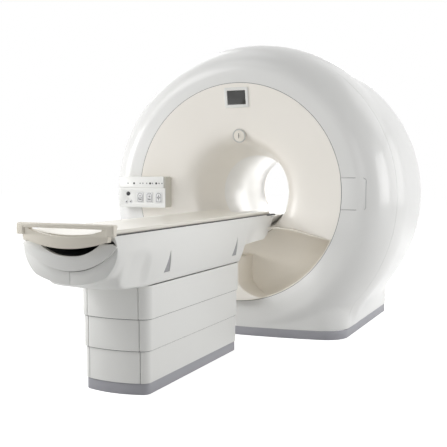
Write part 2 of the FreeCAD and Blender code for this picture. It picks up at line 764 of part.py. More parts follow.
def column(half, z_low, z_high, grow=0.0):
    """The column's filled outline, grown by a step on every side."""
    return bowed_block(
        half,
        -mm("face_depth") - mm("column_front_depth") - mm("column_bow") - grow,
        mm("column_bow"),
        -mm("face_depth") - mm("column_back_depth") + grow,
        z_low,
        z_high,
        mm("column_corner") + grow,
        mm("column_back_corner") + grow,
    )


def shroud(half, grow, z_low, z_high):
    """A thin upright wrap round the column."""
    wall = mm("shroud_wall")
    outer = column(half, z_low, z_high, grow)
    return outer.cut(column(half - wall, z_low - 1, z_high + 1, grow - wall))


def mast(stage, z_low, z_high):
    """A lift mast stage, a hollow box with round corners. Stage 0 is the outer one."""
    step = (mm("mast_wall") + mm("mast_gap")) * stage
    wall = mm("mast_wall")
    middle = -mm("face_depth") - (mm("column_front_depth") + mm("column_back_depth")) / 2
    half_x, half_y = mm("mast_half_x") - step, mm("mast_half_y") - step
    outer = block(-half_x, half_x, middle - half_y, middle + half_y, z_low, z_high)
    outer = fillet_upright(outer, lambda p: True, max(mm("mast_corner") - step, wall / 2 + 1))
    inner = block(
        wall - half_x,
        half_x - wall,
        middle - half_y + wall,
        middle + half_y - wall,
        z_low - 1,
        z_high + 1,
    )
    return outer.cut(fillet_upright(inner, lambda p: True, 4))


def make_column():
    """Base plate, floor skirt, three shrouds and the three-stage lift mast."""
    plate, lip = mm("floor_plate"), mm("lower_lip")
    base = column(mm("skirt_half_width") - mm("skirt_wall") - 0.3, 0, plate, -mm("skirt_wall") - 0.3)
    middle = -mm("face_depth") - (mm("column_front_depth") + mm("column_back_depth")) / 2
    for x in (-mm("anchor_half_x"), mm("anchor_half_x")):
        for y in (-mm("anchor_half_y"), mm("anchor_half_y")):
            start = Vector(x, middle + y, -1)
            base = base.cut(Part.makeCylinder(mm("anchor_radius"), plate + 2, start))
    feature("base_plate", base)
    skirt_half = mm("skirt_half_width")
    skirt = column(skirt_half, 0, mm("skirt_height")).cut(
        column(skirt_half - mm("skirt_wall"), -1, mm("skirt_height") + 1, -mm("skirt_wall"))
    )
    feature("column_skirt", skirt)
    first = mm("lower_half_width")
    step = mm("shroud_wall") + mm("shroud_step")
    grow = first - skirt_half
    tops = [mm("middle_lip") + mm("shroud_overlap"), mm("upper_lip") + mm("shroud_overlap")]
    feature("lower_shroud", shroud(first, grow, lip, tops[0]))
    wall = mm("shroud_wall")
    middle_wrap = shroud(first + step, grow + step, mm("middle_lip"), tops[1])
    lid = column(first + step - 1, tops[1] - wall, tops[1], grow + step - 1)
    neck = mast_outline(2, mm("mast_gap"), tops[1] - wall - 1, tops[1] + 1)
    feature("middle_shroud", middle_wrap.fuse(lid.cut(neck)).removeSplitter())
    top = mm("hull_floor")
    feature("upper_shroud", shroud(first + 2 * step, grow + 2 * step, mm("upper_lip"), top))
    half_travel = mm("lift_travel") / 2
    low = plate
    feature("mast_outer", mast(0, low, mm("middle_lip") + mm("shroud_overlap")))
    feature("mast_middle", mast(1, low + half_travel + 5, tops[1] - wall))
    feature("mast_inner", mast(2, low + 2 * half_travel + 5, top))


def mast_outline(stage, grow, z_low, z_high):
    """The filled outline of a mast stage, grown by a gap."""
    step = (mm("mast_wall") + mm("mast_gap")) * stage - grow
    middle = -mm("face_depth") - (mm("column_front_depth") + mm("column_back_depth")) / 2
    half_x, half_y = mm("mast_half_x") - step, mm("mast_half_y") - step
    return block(-half_x, half_x, middle - half_y, middle + half_y, z_low, z_high)


# --- the table body -----------------------------------------------------------------

# what the station is measured from and how far behind it, half width at the rim, half
# width and drop of the waist, half width and drop of the lower corner, drop of the
# lowest line, how far the side is hollowed below the waist. Drops are below the bore axis.
HULL_STATIONS = [
    ("hull_start_depth", 12, 278, 296, 236, 224, 388, 436, 0),
    ("hull_start_depth", 40, 278, 300, 244, 224, 396, 445, 0),
    ("hull_start_depth", 96, 272, 300, 250, 222, 402, 450, 6),
    ("hull_start_depth", 148, 270, 299, 256, 224, 456, 472, 26),
    ("hull_start_depth", 208, 270, 298, 260, 228, 474, 480, 36),
    ("column_front_depth", -143, 270, 295, 268, 232, 481, 483, 34),
    ("column_front_depth", -65, 270, 290, 292, 235, 487, 488, 8),
    ("column_front_depth", 40, 270, 287, 306, 236, 487.5, 488, 0),
    ("column_back_depth", -600, 270, 286, 308, 236, 487.5, 488, 0),
    ("column_back_depth", 0, 270, 286, 308, 238, 487.5, 488, 0),
    ("column_back_depth", 22, 270, 286, 296, 248, 442, 449, 0),
    ("column_back_depth", 56, 270, 284, 284, 252, 392, 400, 0),
    ("column_back_depth", 110, 270, 282, 274, 254, 370, 377, 0),
    ("", -100, 270, 277, 262, 256, 360, 368, 0),
    ("", 260, 248, 254, 250, 246, 356, 364, 0),
]


def hull_section(station, inset):
    """One cross-section of the table body: bowed bottom and sides, hollowed below the waist."""
    anchor, along, rim_half, half, waist_drop, corner, corner_drop, low_drop, cove = station
    y = along - mm("face_depth") - (mm(anchor) if anchor else 0)
    bore, rim = mm("bore_height"), mm("hull_rim")
    waist, low_corner, low = bore - waist_drop, bore - corner_drop + inset, bore - low_drop + inset
    rim_half, half, corner = rim_half - inset, half - inset, corner - inset * 0.8
    right = []
    for i in range(7):
        z = low_corner + (rim - low_corner) * i / 6
        x = rim_half * (z - waist) * (z - low_corner) / ((rim - waist) * (rim - low_corner))
        x += half * (z - rim) * (z - low_corner) / ((waist - rim) * (waist - low_corner))
        x += corner * (z - rim) * (z - waist) / ((low_corner - rim) * (low_corner - waist))
        share = (z - low_corner) / (waist - low_corner)
        x -= cove * max(0, 4 * share * (1 - share))
        right.append(Vector(x, y, z))
    bottom = Part.Arc(
        Vector(-corner, y, low_corner), Vector(0, y, low), Vector(corner, y, low_corner)
    )
    under = bottom.toShape().discretize(5)
    left = [Vector(-p.x, y, p.z) for p in right]
    corners = under[:-1] + right + left[:0:-1]
    return Part.makePolygon(corners + corners[:1])


def hull_solid(inset):
    """The table body's filled form."""
    wires = [hull_section(station, inset) for station in HULL_STATIONS]
    return Part.makeLoft(wires, True, True)


def side_prism(corners, x_low, x_high):
    """A block across the table from (depth behind the ring face, height) corners."""
    points = [Vector(x_low, y - mm("face_depth"), z) for y, z in corners]
    wire = Part.makePolygon(points + points[:1])
    return Part.Face(wire).extrude(Vector(x_high - x_low, 0, 0))


def nose_cut(back):
    """What is taken off the head end: everything beyond its slanted end, moved back."""
    drops = [(-55, 440), (-55, 366), (25, 298), (196, 158), (600, 158), (600, 440)]
    corners = [(y - back, mm("bore_height") - drop) for y, drop in drops]
    return side_prism(corners, -400, 400)


def hand_recesses():
    """The four wedge-shaped hand recesses in the table body's sides."""
    low, high = mm("recess_low"), mm("recess_high")
    wedges = []
    for middle in (mm("recess_front_depth"), mm("recess_rear_depth")):
        corners = [(middle - 38, low), (middle + 38, low), (middle + 12, high)]
        wedges += [side_prism(corners, -330, -200), side_prism(corners, 200, 330)]
    return Part.makeCompound(wedges).cut(hull_solid(mm("recess_depth")))


def channel_outline(drop):
    """(x, z) points of the channel's floor from left to right: ledges and a trough."""
    ledge, inner, low = mm("ledge_height") - drop, mm("ledge_half"), mm("trough_bottom") - drop
    points = []
    for i in range(-8, 9):
        points.append((inner * i / 8, low + (ledge - 2 - low) * abs(i / 8) ** 2.4))
    return points


def channel_room(drop, wide, y_low, y_high, top):
    """The air of the channel above its floor."""
    ledge = mm("ledge_height") - drop
    points = [(-wide, top), (-wide, ledge)] + channel_outline(drop) + [(wide, ledge), (wide, top)]
    corners = [Vector(x, y_low, z) for x, z in points]
    wire = Part.makePolygon(corners + corners[:1])
    return Part.Face(wire).extrude(Vector(0, y_high - y_low, 0))


def make_hull():
    """The two half shells of the table body, the channel liner and the fascia."""
    wall, gap = mm("hull_wall"), mm("cover_gap") / 2
    start = -mm("face_depth") - mm("hull_start_depth")
    head = 400 - mm("face_depth")
    outer, inner = hull_solid(0), hull_solid(wall)
    below, above = mm("hull_floor") - 20, mm("hull_rim") + 40
    end_wall = block(-400, 400, start - 10, start + mm("fascia_wall"), below, above)
    room = inner.cut(end_wall).cut(nose_cut(wall * 1.5))
    shell = outer.cut(room).cut(nose_cut(0)).cut(hand_recesses())
    half, ledge = mm("channel_half"), mm("ledge_height")
    nose_wall = nose_cut(wall * 1.5).common(block(-400, 400, start, 0, 0, mm("bridge_top") - 8))
    top_open = block(-half, half, start - 10, head, ledge - 60, above).cut(nose_wall)
    front_hole = fascia_outline(0, start - 10, start + mm("fascia_wall") + 4)
    shell = shell.cut(top_open).cut(front_hole)
    slot_half = mm("tower_half_width") + 14
    slot_start = -mm("face_depth") - mm("tower_reach") - 8
    slot = block(-slot_half, slot_half, slot_start, 0, below, above)
    shell = shell.cut(slot)
    opening = mast_outline(2, -mm("mast_wall") / 2, mm("hull_floor") - 50, mm("hull_floor") + 60)
    shell = shell.cut(opening)
    feature("hull_left", biggest(shell.common(block(-400, -gap, start - 1, 0, below, above))))
    feature("hull_right", biggest(shell.common(block(gap, 400, start - 1, 0, below, above))))
    thick = mm("trough_wall")
    liner_start = start + mm("fascia_wall") + 1
    liner_end = -mm("face_depth") + 20
    half = mm("channel_half") - gap
    liner = channel_room(thick, half, liner_start, liner_end, mm("hull_rim") - 4)
    liner = liner.cut(channel_room(0, half - thick, liner_start - 1, liner_end + 1, above))
    feature("channel_liner", liner.cut(slot))
    plate = fascia_outline(mm("cover_gap"), start, start + mm("fascia_wall"))
    plate = plate.cut(channel_room(0, mm("channel_half") + 60, start - 1, start + 50, above))
    feature("foot_fascia", plate)
    low = mm("hull_floor") + wall + 0.6
    carrier = mast_outline(2, 60, low, low + wall)
    feature("lift_plate", carrier.cut(mast_outline(2, -40, low - 1, low + 50)))


def biggest(shape):
    return max(shape.Solids, key=lambda s: s.Volume)


def fascia_outline(inset, y_low, y_high):
    """The crescent that the end fascia fills, above the bumper."""
    half, low, top = mm("fascia_half") - inset, mm("fascia_low") + inset, mm("ledge_height")
    middle = mm("fascia_middle")
    points = []
    for i in range(-9, 10):
        turn = math.radians(10 * i)
        x = half * math.sin(turn)
        points.append(Vector(x, y_low, middle - (middle - low) * math.cos(turn) ** 1.65))
    curve = Part.BSplineCurve()
    curve.interpolate(points)
    top_points = [points[-1], Vector(half - 30, y_low, top), Vector(30 - half, y_low, top), points[0]]
    wire = Part.Wire([curve.toShape()] + Part.makePolygon(top_points).Edges)
    return Part.Face(wire).extrude(Vector(0, y_high - y_low, 0))


# --- the moving tabletop ---------------------------------------------------------------


def board_form():
    """A long shallow dish with rounded ends."""
    start = -mm("face_depth") - mm("hull_start_depth") + 1
    end = -mm("face_depth") - mm("board_head_depth")
    half, flat = mm("board_half"), mm("board_flat_half")
    low = mm("bridge_top") + mm("board_gap")
    edge, side, dip = mm("board_edge"), mm("board_side"), mm("board_dip")
    right = Vector(half - 8, start, edge)
    left = Vector(8 - half, start, edge)
    dish = Part.Arc(right, Vector(0, start, edge - dip), left).toShape()
    corners = [
        left,
        Vector(-half, start, edge - 8),
        Vector(-half, start, side),
        Vector(-flat, start, low),
        Vector(flat, start, low),
        Vector(half, start, side),
        Vector(half, start, edge - 8),
        right,
    ]
    wire = Part.Wire([dish] + Part.makePolygon(corners).Edges)
    board = Part.Face(wire).extrude(Vector(0, end - start, 0))
    rounder = block(-half - 1, half + 1, start - 1, end, low - 40, edge + 100)
    rounder = fillet_upright(rounder, lambda p: p.y > end - 1, 90)
    return board.common(rounder)


def grip_form():
    """The moulded grip: a straight bar whose ends drop to a smiling bow."""
    start = -mm("face_depth") - mm("hull_start_depth")
    low, high, half = mm("grip_low"), mm("grip_high"), mm("grip_half")
    front = start - mm("grip_reach")
    bar = block(-half, half, front, start + 4, low, high)
    bar = bar.makeFillet(11, bar.Edges)
    y = start - mm("bow_thickness")
    wide, thin = mm("bow_half"), mm("bow_side")
    hand, jaw = wide - thin, wide - 34
    top, waist, under = low - 8, low - 46, low - 71
    inner = [(hand, low + 6), (hand - 6, top), (6 - hand, top), (-hand, low + 6)]
    right = [(jaw, under), (wide - 4, under + 4), (wide, waist), (wide, low + 6)]
    outer = [(-x, z) for x, z in right[::-1]] + right
    smile = Part.Arc(
        Vector(hand - 6, y, top), Vector(0, y, top - mm("bow_smile")), Vector(6 - hand, y, top)
    )
    chin = Part.Arc(Vector(-jaw, y, under), Vector(0, y, mm("bow_low")), Vector(jaw, y, under))
    edges = [smile.toShape(), chin.toShape()]
    runs = (inner[:2], inner[2:] + outer[:4], outer[4:] + inner[:1])
    for run in runs:
        edges += Part.makePolygon([Vector(x, y, z) for x, z in run]).Edges
    wire = Part.Wire(Part.sortEdges(edges)[0])
    grip = bar.fuse(Part.Face(wire).extrude(Vector(0, start - y, 0)))
    for x_low, x_high in ((-half, 12 - wide), (wide - 12, half)):
        elbow = block(x_low, x_high, front, start - 4, low - 38, high)
        grip = grip.fuse(elbow.makeFillet(11, elbow.Edges))
    return grip.removeSplitter()


def make_tabletop():
    """Tabletop, grip and the carriage that runs on the ledges."""
    feature("tabletop", board_form())
    feature("foot_grip", grip_form())
    start = -mm("face_depth") - mm("hull_start_depth") + mm("bow_thickness") + 12
    low = mm("ledge_height") + mm("board_gap")
    top = mm("bridge_top") + mm("board_gap")
    for side, name in ((-1, "carriage_left"), (1, "carriage_right")):
        inner, outer = mm("ledge_half") + 8, mm("board_flat_half") - 2
        xs = sorted((side * inner, side * outer))
        feature(name, block(xs[0], xs[1], start, start + 110, low, top))


def make_rollers():
    """Two rollers at the head end that carry the tabletop, in their cradles."""
    top = mm("bridge_top")
    radius, half, axle = mm("roller_radius"), mm("roller_half"), mm("axle_radius")
    along_x = Vector(1, 0, 0)
    for name in ("front", "rear"):
        y, z = -mm("face_depth") - mm(f"roller_{name}_depth"), top - radius
        roller = Part.makeCylinder(radius, 2 * half, Vector(-half, y, z), along_x)
        reach = half + mm("cheek_thickness")
        pin = Part.makeCylinder(axle, 2 * reach, Vector(-reach, y, z), along_x)
        feature(f"roller_{name}", roller.fuse(pin).removeSplitter())
        inner, outer, deep = half + 2, reach + 2, mm("cradle_half")
        below = mm("trough_bottom") - 40
        room = block(-outer, outer, y - deep, y + deep, below, z + 10)
        cradle = room.common(channel_room(0, mm("channel_half"), y - 50, y + 50, mm("hull_rim") + 40))
        air = block(-inner, inner, y - deep - 1, y + deep + 1, below, z + 20)
        air = air.common(channel_room(-4, mm("channel_half"), y - 50, y + 50, mm("hull_rim") + 40))
        hole = Part.makeCylinder(axle + mm("axle_gap"), 400, Vector(-200, y, z), along_x)
        feature(f"cradle_{name}", cradle.cut(air).cut(hole))


def check_and_write():
    """Stops on any failed or empty form, then writes every sub-part."""
    document.recompute()
    for item in document.Objects:
        if "Invalid" in item.State or "Error" in item.State:
            raise RuntimeError(f"{item.Label}: {item.State}")
    for item in sub_parts:
        if item.Shape.isNull() or not item.Shape.isValid():
            raise RuntimeError(f"{item.Label} is not a valid shape")
    os.makedirs(PARTS_FOLDER, exist_ok=True)
    for item in sub_parts:
        item.Shape.exportStep(f"{PARTS_FOLDER}/{item.Label}.step")


make_magnet()
make_covers()
make_inner_covers()
make_fittings()
make_control_panel()
make_column()
make_hull()
make_tabletop()
make_rollers()
check_and_write()
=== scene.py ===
"""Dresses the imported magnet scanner: smooth moulded covers, finishes, studio and camera.

Metres, in the CAD frame: +Y runs from the table's foot end to the rear of the magnet.
"""

import json
import math

import bpy
import numpy as np
from mathutils import Matrix, Vector


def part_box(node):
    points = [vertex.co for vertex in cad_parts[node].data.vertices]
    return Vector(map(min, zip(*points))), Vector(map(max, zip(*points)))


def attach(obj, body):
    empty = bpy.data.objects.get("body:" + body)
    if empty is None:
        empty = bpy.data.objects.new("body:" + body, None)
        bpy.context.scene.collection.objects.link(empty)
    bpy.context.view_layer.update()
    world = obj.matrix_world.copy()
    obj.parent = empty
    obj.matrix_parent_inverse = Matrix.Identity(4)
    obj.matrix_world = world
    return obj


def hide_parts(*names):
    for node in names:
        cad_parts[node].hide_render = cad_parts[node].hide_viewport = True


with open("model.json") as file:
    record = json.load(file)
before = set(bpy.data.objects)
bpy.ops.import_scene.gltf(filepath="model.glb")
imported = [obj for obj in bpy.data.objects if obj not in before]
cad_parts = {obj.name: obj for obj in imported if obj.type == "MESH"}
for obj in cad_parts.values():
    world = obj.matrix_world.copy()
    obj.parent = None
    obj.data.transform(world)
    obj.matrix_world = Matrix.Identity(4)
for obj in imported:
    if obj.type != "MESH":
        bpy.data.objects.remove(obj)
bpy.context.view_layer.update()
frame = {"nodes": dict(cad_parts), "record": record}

# --- sizes ------------------------------------------------------------------------

FACE_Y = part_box("ring_cover")[0].y
BACK_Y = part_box("rear_cover")[1].y
JOINT_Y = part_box("rear_cover")[0].y
BORE_Z = (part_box("tunnel_liner")[0].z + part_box("tunnel_liner")[1].z) / 2
SKIRT_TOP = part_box("plinth_skirt")[1].z
COVER_WALL = 0.009
# where the ring cover ends and the dished cover begins
SEAM_RADIUS = 0.858
# between the ring cover and the rear cover, and between both and the floor skirt
SEAM_GAP = 0.0015
SKIRT_GAP = 0.001

# the drum: its middle sits below the bore axis, it is widest at its peak depth, and its flat
# faces at the front and the back roll into its side by a superellipse of their own power
DRUM_DROP = 0.037
DRUM_RADIUS = 1.243
DRUM_FLAT_RADIUS = 0.960
DRUM_BACK_RADIUS = 1.060
DRUM_PEAK_DEPTH = 0.558
DRUM_FRONT_POWER = 2.1
DRUM_REAR_POWER = 2.6
# the superellipse counts in shares of its size, the plinth in metres: what one share is worth
DRUM_SHARE = 0.4
BACK_OPENING = 0.620

# the plinth: a block with a bowed front, and where it runs softly into the drum
PLINTH_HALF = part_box("plinth_skirt")[1].x
PLINTH_TOP = BORE_Z - 0.45
PLINTH_FRONT = 0.004
PLINTH_BOW = 0.098
PLINTH_CORNER = 0.185
PLINTH_BLEND, LEAST_BLEND = 0.16, 0.002
BLEND_START, BLEND_RISE = 0.12, 0.35
BLEND_END, BLEND_FALL = 1.55, 0.2

HULL_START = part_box("hull_left")[0].y
HULL_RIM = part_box("hull_left")[1].z


# --- small tools ------------------------------------------------------------------


def deselect():
    """Leaves nothing selected."""
    bpy.ops.object.select_all(action="DESELECT")


def make_active(piece):
    """Selects one piece alone, so that the next operator acts on it."""
    deselect()
    piece.select_set(True)
    bpy.context.view_layer.objects.active = piece


def apply_modifiers(piece):
    """Turns what the modifiers show into the piece's own mesh."""
    make_active(piece)
    for modifier in list(piece.modifiers):
        bpy.ops.object.modifier_apply(modifier=modifier.name)


def finish_piece(piece, body, material, smooth=40):
    """Shades a piece, gives it its finish and lets it ride on its body."""
    make_active(piece)
    bpy.ops.object.shade_smooth_by_angle(angle=math.radians(smooth))
    piece.data.materials.clear()
    piece.data.materials.append(material)
    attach(piece, body)
    return piece


def tube_from_rings(name, points):
    """An open tube through rings of points: one row is one ring, closed on itself."""
    rows, columns = points.shape[:2]
    mesh = bpy.data.meshes.new(name)
    faces = []
    for i in range(rows - 1):
        for j in range(columns):
            k = (j + 1) % columns
            this, after = i * columns, (i + 1) * columns
            faces.append((this + j, this + k, after + k, after + j))
    mesh.from_pydata([tuple(p) for p in points.reshape(-1, 3)], [], faces)
    piece = bpy.data.objects.new(name, mesh)
    bpy.context.collection.objects.link(piece)
    return piece


def slice_away(piece, place, normal, fill=False):
    """Cuts a piece by a plane and drops what the normal points at."""
    make_active(piece)
    bpy.ops.object.mode_set(mode="EDIT")
    bpy.ops.mesh.select_all(action="SELECT")
    bpy.ops.mesh.bisect(
        plane_co=place, plane_no=normal, use_fill=fill, clear_outer=True, clear_inner=False
    )
    bpy.ops.object.mode_set(mode="OBJECT")


def copy_of(piece, name):
    """A twin with a mesh of its own."""
    twin = piece.copy()
    twin.data = piece.data.copy()
    twin.name = name
    bpy.context.collection.objects.link(twin)
    return twin


def outward(piece):
    """Turns every face of a piece outwards."""
    make_active(piece)
    bpy.ops.object.mode_set(mode="EDIT")
    bpy.ops.mesh.select_all(action="SELECT")
    bpy.ops.mesh.normals_make_consistent(inside=False)
    bpy.ops.object.mode_set(mode="OBJECT")


def thicken(piece, wall):
    """Gives a sheet its wall, inwards from the outer skin."""
    solid = piece.modifiers.new("Wall", "SOLIDIFY")
    solid.thickness = wall
    solid.offset = -1
    apply_modifiers(piece)


def finish_as_node(piece, node_name):
    """Puts a piece in the place of a CAD node, with the node's body and finish."""
    slot_name = node_slots[node_name]
    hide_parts(node_name)
    return finish_piece(piece, node_bodies[node_name], FINISHES[slot_name], 35)


def softened(node_name, edge, angle):
    """A copy of a CAD node with its edges rounded by a small bevel, or left sharp with none."""
    source = frame["nodes"][node_name]
    piece = copy_of(source, f"{node_name}_moulded")
    piece.modifiers.clear()
    piece.parent = None
    make_active(piece)
    bpy.ops.object.mode_set(mode="EDIT")
    bpy.ops.mesh.select_all(action="SELECT")
    bpy.ops.mesh.remove_doubles(threshold=0.00002)
    bpy.ops.mesh.dissolve_limited(angle_limit=math.radians(1.0))
    bpy.ops.object.mode_set(mode="OBJECT")
    if edge:
        round_edges(piece, edge, angle, 2)
    return finish_as_node(piece, node_name)


def eased(knots, values, at):
    """Smooth values between knots that never overshoot them."""
    knots, values = np.asarray(knots, float), np.asarray(values, float)
    step = np.diff(knots)
    slope = np.diff(values) / step
    lean = np.concatenate([slope[:1], np.zeros(len(knots) - 2), slope[-1:]])
    same = slope[:-1] * slope[1:] > 0
    lean[1:-1][same] = 2 * (slope[:-1] * slope[1:])[same] / (slope[:-1] + slope[1:])[same]
    cell = np.clip(np.searchsorted(knots, at) - 1, 0, len(step) - 1)
    t = (at - knots[cell]) / step[cell]
    start, end = values[cell], values[cell + 1]
    pull = t * (1 - t) * step[cell]
    tilt = (1 - t) * lean[cell] - t * lean[cell + 1]
    return start + (end - start) * t * t * (3 - 2 * t) + pull * tilt


def close_ends(piece):
    """Closes the open ends of a tube, then turns every face outwards."""
    make_active(piece)
    bpy.ops.object.mode_set(mode="EDIT")
    bpy.ops.mesh.select_all(action="SELECT")
    bpy.ops.mesh.fill_holes(sides=0)
    bpy.ops.mesh.select_all(action="SELECT")
    bpy.ops.mesh.normals_make_consistent(inside=False)
    bpy.ops.object.mode_set(mode="OBJECT")


def turned(name, profile, around=160):
    """A closed loop of (radius, y) points turned round the bore axis."""
    count = len(profile)
    mesh = bpy.data.meshes.new(name)
    loop = [(i, (i + 1) % count) for i in range(count)]
    mesh.from_pydata([(0, y, BORE_Z + radius) for radius, y in profile], loop, [])
    piece = bpy.data.objects.new(name, mesh)
    bpy.context.collection.objects.link(piece)
    make_active(piece)
    bpy.ops.object.mode_set(mode="EDIT")
    bpy.ops.mesh.select_all(action="SELECT")
    bpy.ops.mesh.spin(
        steps=around, angle=2 * math.pi, center=(0, 0, BORE_Z), axis=(0, 1, 0)
    )
    bpy.ops.object.mode_set(mode="OBJECT")
    merge_and_face_out(piece)
    return piece


def merge_and_face_out(piece):
    """Merges doubled corners, then turns every face outwards."""
    make_active(piece)
    bpy.ops.object.mode_set(mode="EDIT")
    bpy.ops.mesh.select_all(action="SELECT")
    bpy.ops.mesh.remove_doubles(threshold=0.00002)
    bpy.ops.mesh.dissolve_degenerate(threshold=0.00002)
    bpy.ops.mesh.normals_make_consistent(inside=False)
    bpy.ops.object.mode_set(mode="OBJECT")


def prism(name, corners, low, high, axis="y"):
    """An outline drawn out to a block: (x, z) corners along y, (y, z) along x or (x, y) along z."""
    if axis == "y":
        base = [(x, low, z) for x, z in corners]
        reach = (0, high - low, 0)
    elif axis == "x":
        base = [(low, y, z) for y, z in corners]
        reach = (high - low, 0, 0)
    else:
        base = [(x, y, low) for x, y in corners]
        reach = (0, 0, high - low)
    mesh = bpy.data.meshes.new(name)
    mesh.from_pydata(base, [], [range(len(base))])
    piece = bpy.data.objects.new(name, mesh)
    bpy.context.collection.objects.link(piece)
    make_active(piece)
    bpy.ops.object.mode_set(mode="EDIT")
    bpy.ops.mesh.select_all(action="SELECT")
    bpy.ops.mesh.extrude_region_move(TRANSFORM_OT_translate={"value": reach})
    bpy.ops.mesh.select_all(action="SELECT")
    bpy.ops.mesh.normals_make_consistent(inside=False)
    bpy.ops.object.mode_set(mode="OBJECT")
    return piece


def carve(piece, cutter, way="DIFFERENCE", keep=False):
    """Cuts a piece by another, or keeps what both share."""
    tool = piece.modifiers.new("Carve", "BOOLEAN")
    tool.operation = way
    tool.solver = "EXACT"
    tool.object = cutter
    apply_modifiers(piece)
    if not keep:
        bpy.data.objects.remove(cutter)
    return piece


def round_edges(piece, width, angle=30, segments=3):
    """Rounds every edge that is sharper than an angle in degrees."""
    bevel = piece.modifiers.new("Edges", "BEVEL")
    bevel.width = width
    bevel.segments = segments
    bevel.limit_method = "ANGLE"
    bevel.angle_limit = math.radians(angle)
    apply_modifiers(piece)


def swell(piece, by):
    """Grows a piece outwards along its normals."""
    grow = piece.modifiers.new("Swell", "DISPLACE")
    grow.strength = by
    grow.mid_level = 0.0
    apply_modifiers(piece)


def joined(parts):
    """Makes one piece of several, which keeps the place of the first."""
    make_active(parts[0])
    for part in parts[1:]:
        part.select_set(True)
    if len(parts) > 1:
        bpy.ops.object.join()
    return bpy.context.view_layer.objects.active


# --- finishes -----------------------------------------------------------------------


CLOUD_SIZE = 0.4
PEEL_DEPTH = 0.0004
COAT_ROUGHNESS = 0.12
PLASTIC_IOR = 1.5
# how much longer than wide the grain of drawn metal is
GRAIN_STRETCH = 12.0


def linear(hex_text):
    """An sRGB hex colour as linear light."""
    values = [int(hex_text[i : i + 2], 16) / 255 for i in (1, 3, 5)]
    return [v / 12.92 if v <= 0.04045 else ((v + 0.055) / 1.055) ** 2.4 for v in values] + [1.0]


def add(tree, kind, settings=None, links=None):
    """Adds a node with its settings and its inputs' links or values."""
    item = tree.nodes.new(kind)
    for key, value in (settings or {}).items():
        setattr(item, key, value)
    for key, value in (links or {}).items():
        if isinstance(value, bpy.types.NodeSocket):
            tree.links.new(value, item.inputs[key])
        else:
            item.inputs[key].default_value = value
    return item


def bare_material(name):
    """A new material and its empty node tree."""
    material = bpy.data.materials.new(name)
    material.use_nodes = True
    material.node_tree.nodes.clear()
    return material, material.node_tree


def moulded(name, shade, tint, roughness, grain_mm, bump=0.05, coat=0.0):
    """Moulded or sprayed plastic: two close shades, an orange-peel bump, uneven gloss."""
    material, tree = bare_material(name)
    place = add(tree, "ShaderNodeTexCoord").outputs["Object"]
    # broad cloudiness, as in hand-sprayed covers
    cloud = add(
        tree, "ShaderNodeTexNoise", None, {"Vector": place, "Scale": 1 / CLOUD_SIZE, "Detail": 3.0}
    )
    # the peel of the sprayed or moulded skin
    peel = add(
        tree, "ShaderNodeTexNoise", None, {"Vector": place, "Scale": 1000 / grain_mm, "Detail": 2.0}
    )
    mix = add(
        tree,
        "ShaderNodeMix",
        {"data_type": "RGBA"},
        {0: cloud.outputs["Fac"], 6: linear(shade), 7: linear(tint)},
    )
    gloss = add(
        tree,
        "ShaderNodeMapRange",
        None,
        {
            "Value": peel.outputs["Fac"],
            "To Min": roughness * 0.9,
            "To Max": roughness * 1.1,
        },
    )
    relief = add(
        tree,
        "ShaderNodeBump",
        None,
        {"Height": peel.outputs["Fac"], "Strength": bump, "Distance": PEEL_DEPTH},
    )
    shader = add(
        tree,
        "ShaderNodeBsdfPrincipled",
        None,
        {
            "Base Color": mix.outputs[2],
            "Roughness": gloss.outputs["Result"],
            "Normal": relief.outputs["Normal"],
            "IOR": PLASTIC_IOR,
            "Coat Weight": coat,
            "Coat Roughness": COAT_ROUGHNESS,
        },
    )
    add(tree, "ShaderNodeOutputMaterial", None, {"Surface": shader.outputs["BSDF"]})
    return material


def drawn_metal(name, shade, tint, roughness, grain_mm):
    """Drawn metal, its grain stretched upwards."""
    material, tree = bare_material(name)
    place = add(tree, "ShaderNodeTexCoord").outputs["Object"]
    drawn = add(
        tree,
        "ShaderNodeMapping",
        None,
        {"Vector": place, "Scale": (1.0, 1.0, 1 / GRAIN_STRETCH)},
    )
    grain = add(
        tree,
        "ShaderNodeTexNoise",
        None,
        {"Vector": drawn.outputs["Vector"], "Scale": 1000 / grain_mm, "Detail": 4.0},
    )
    mix = add(
        tree,
        "ShaderNodeMix",
        {"data_type": "RGBA"},
        {0: grain.outputs["Fac"], 6: linear(shade), 7: linear(tint)},
    )
    gloss = add(
        tree,
        "ShaderNodeMapRange",
        None,
        {"Value": grain.outputs["Fac"], "To Min": roughness * 0.75, "To Max": roughness * 1.25},
    )
    shader = add(
        tree,
        "ShaderNodeBsdfPrincipled",
        None,
        {"Base Color": mix.outputs[2], "Roughness": gloss.outputs["Result"], "Metallic": 1.0},
    )
    add(tree, "ShaderNodeOutputMaterial", None, {"Surface": shader.outputs["BSDF"]})
    return material


# sprayed glass-fibre covers: light grey-white, a soft sheen with a faint peel
cover_white = moulded("sprayed_cover_white", "#dfdfdd", "#e3e3e1", 0.32, 3.0, 0.04, 0.3)
# the dished front cover and the tower: a warmer white than the ring
inner_cream = moulded("sprayed_cover_cream", "#efebe3", "#f2eee7", 0.36, 3.0, 0.04, 0.2)
# the docking bay: deeper beige, flat finish
bay_beige = moulded("moulded_bay_beige", "#dfd9ce", "#e3ddd2", 0.5, 2.0, 0.08)
# floor skirts: vinyl strip, grey violet, dull
skirt_slate = moulded("vinyl_skirt_slate", "#9a9aa0", "#a2a2a8", 0.5, 1.5, 0.12)
# table body and column shrouds: moulded polyurethane, fine texture
table_white = moulded("moulded_table_white", "#e1e1de", "#e5e5e2", 0.42, 1.2, 0.08)
# grip at the foot end: cast polyurethane, warm beige
grip_beige = moulded("cast_grip_beige", "#dfd9cb", "#e3ddd0", 0.38, 2.0, 0.05, 0.1)
# tabletop: laminate over foam core, cream with a pink cast
board_cream = moulded("laminate_board_cream", "#e9e5da", "#ece8de", 0.34, 4.0, 0.03, 0.2)
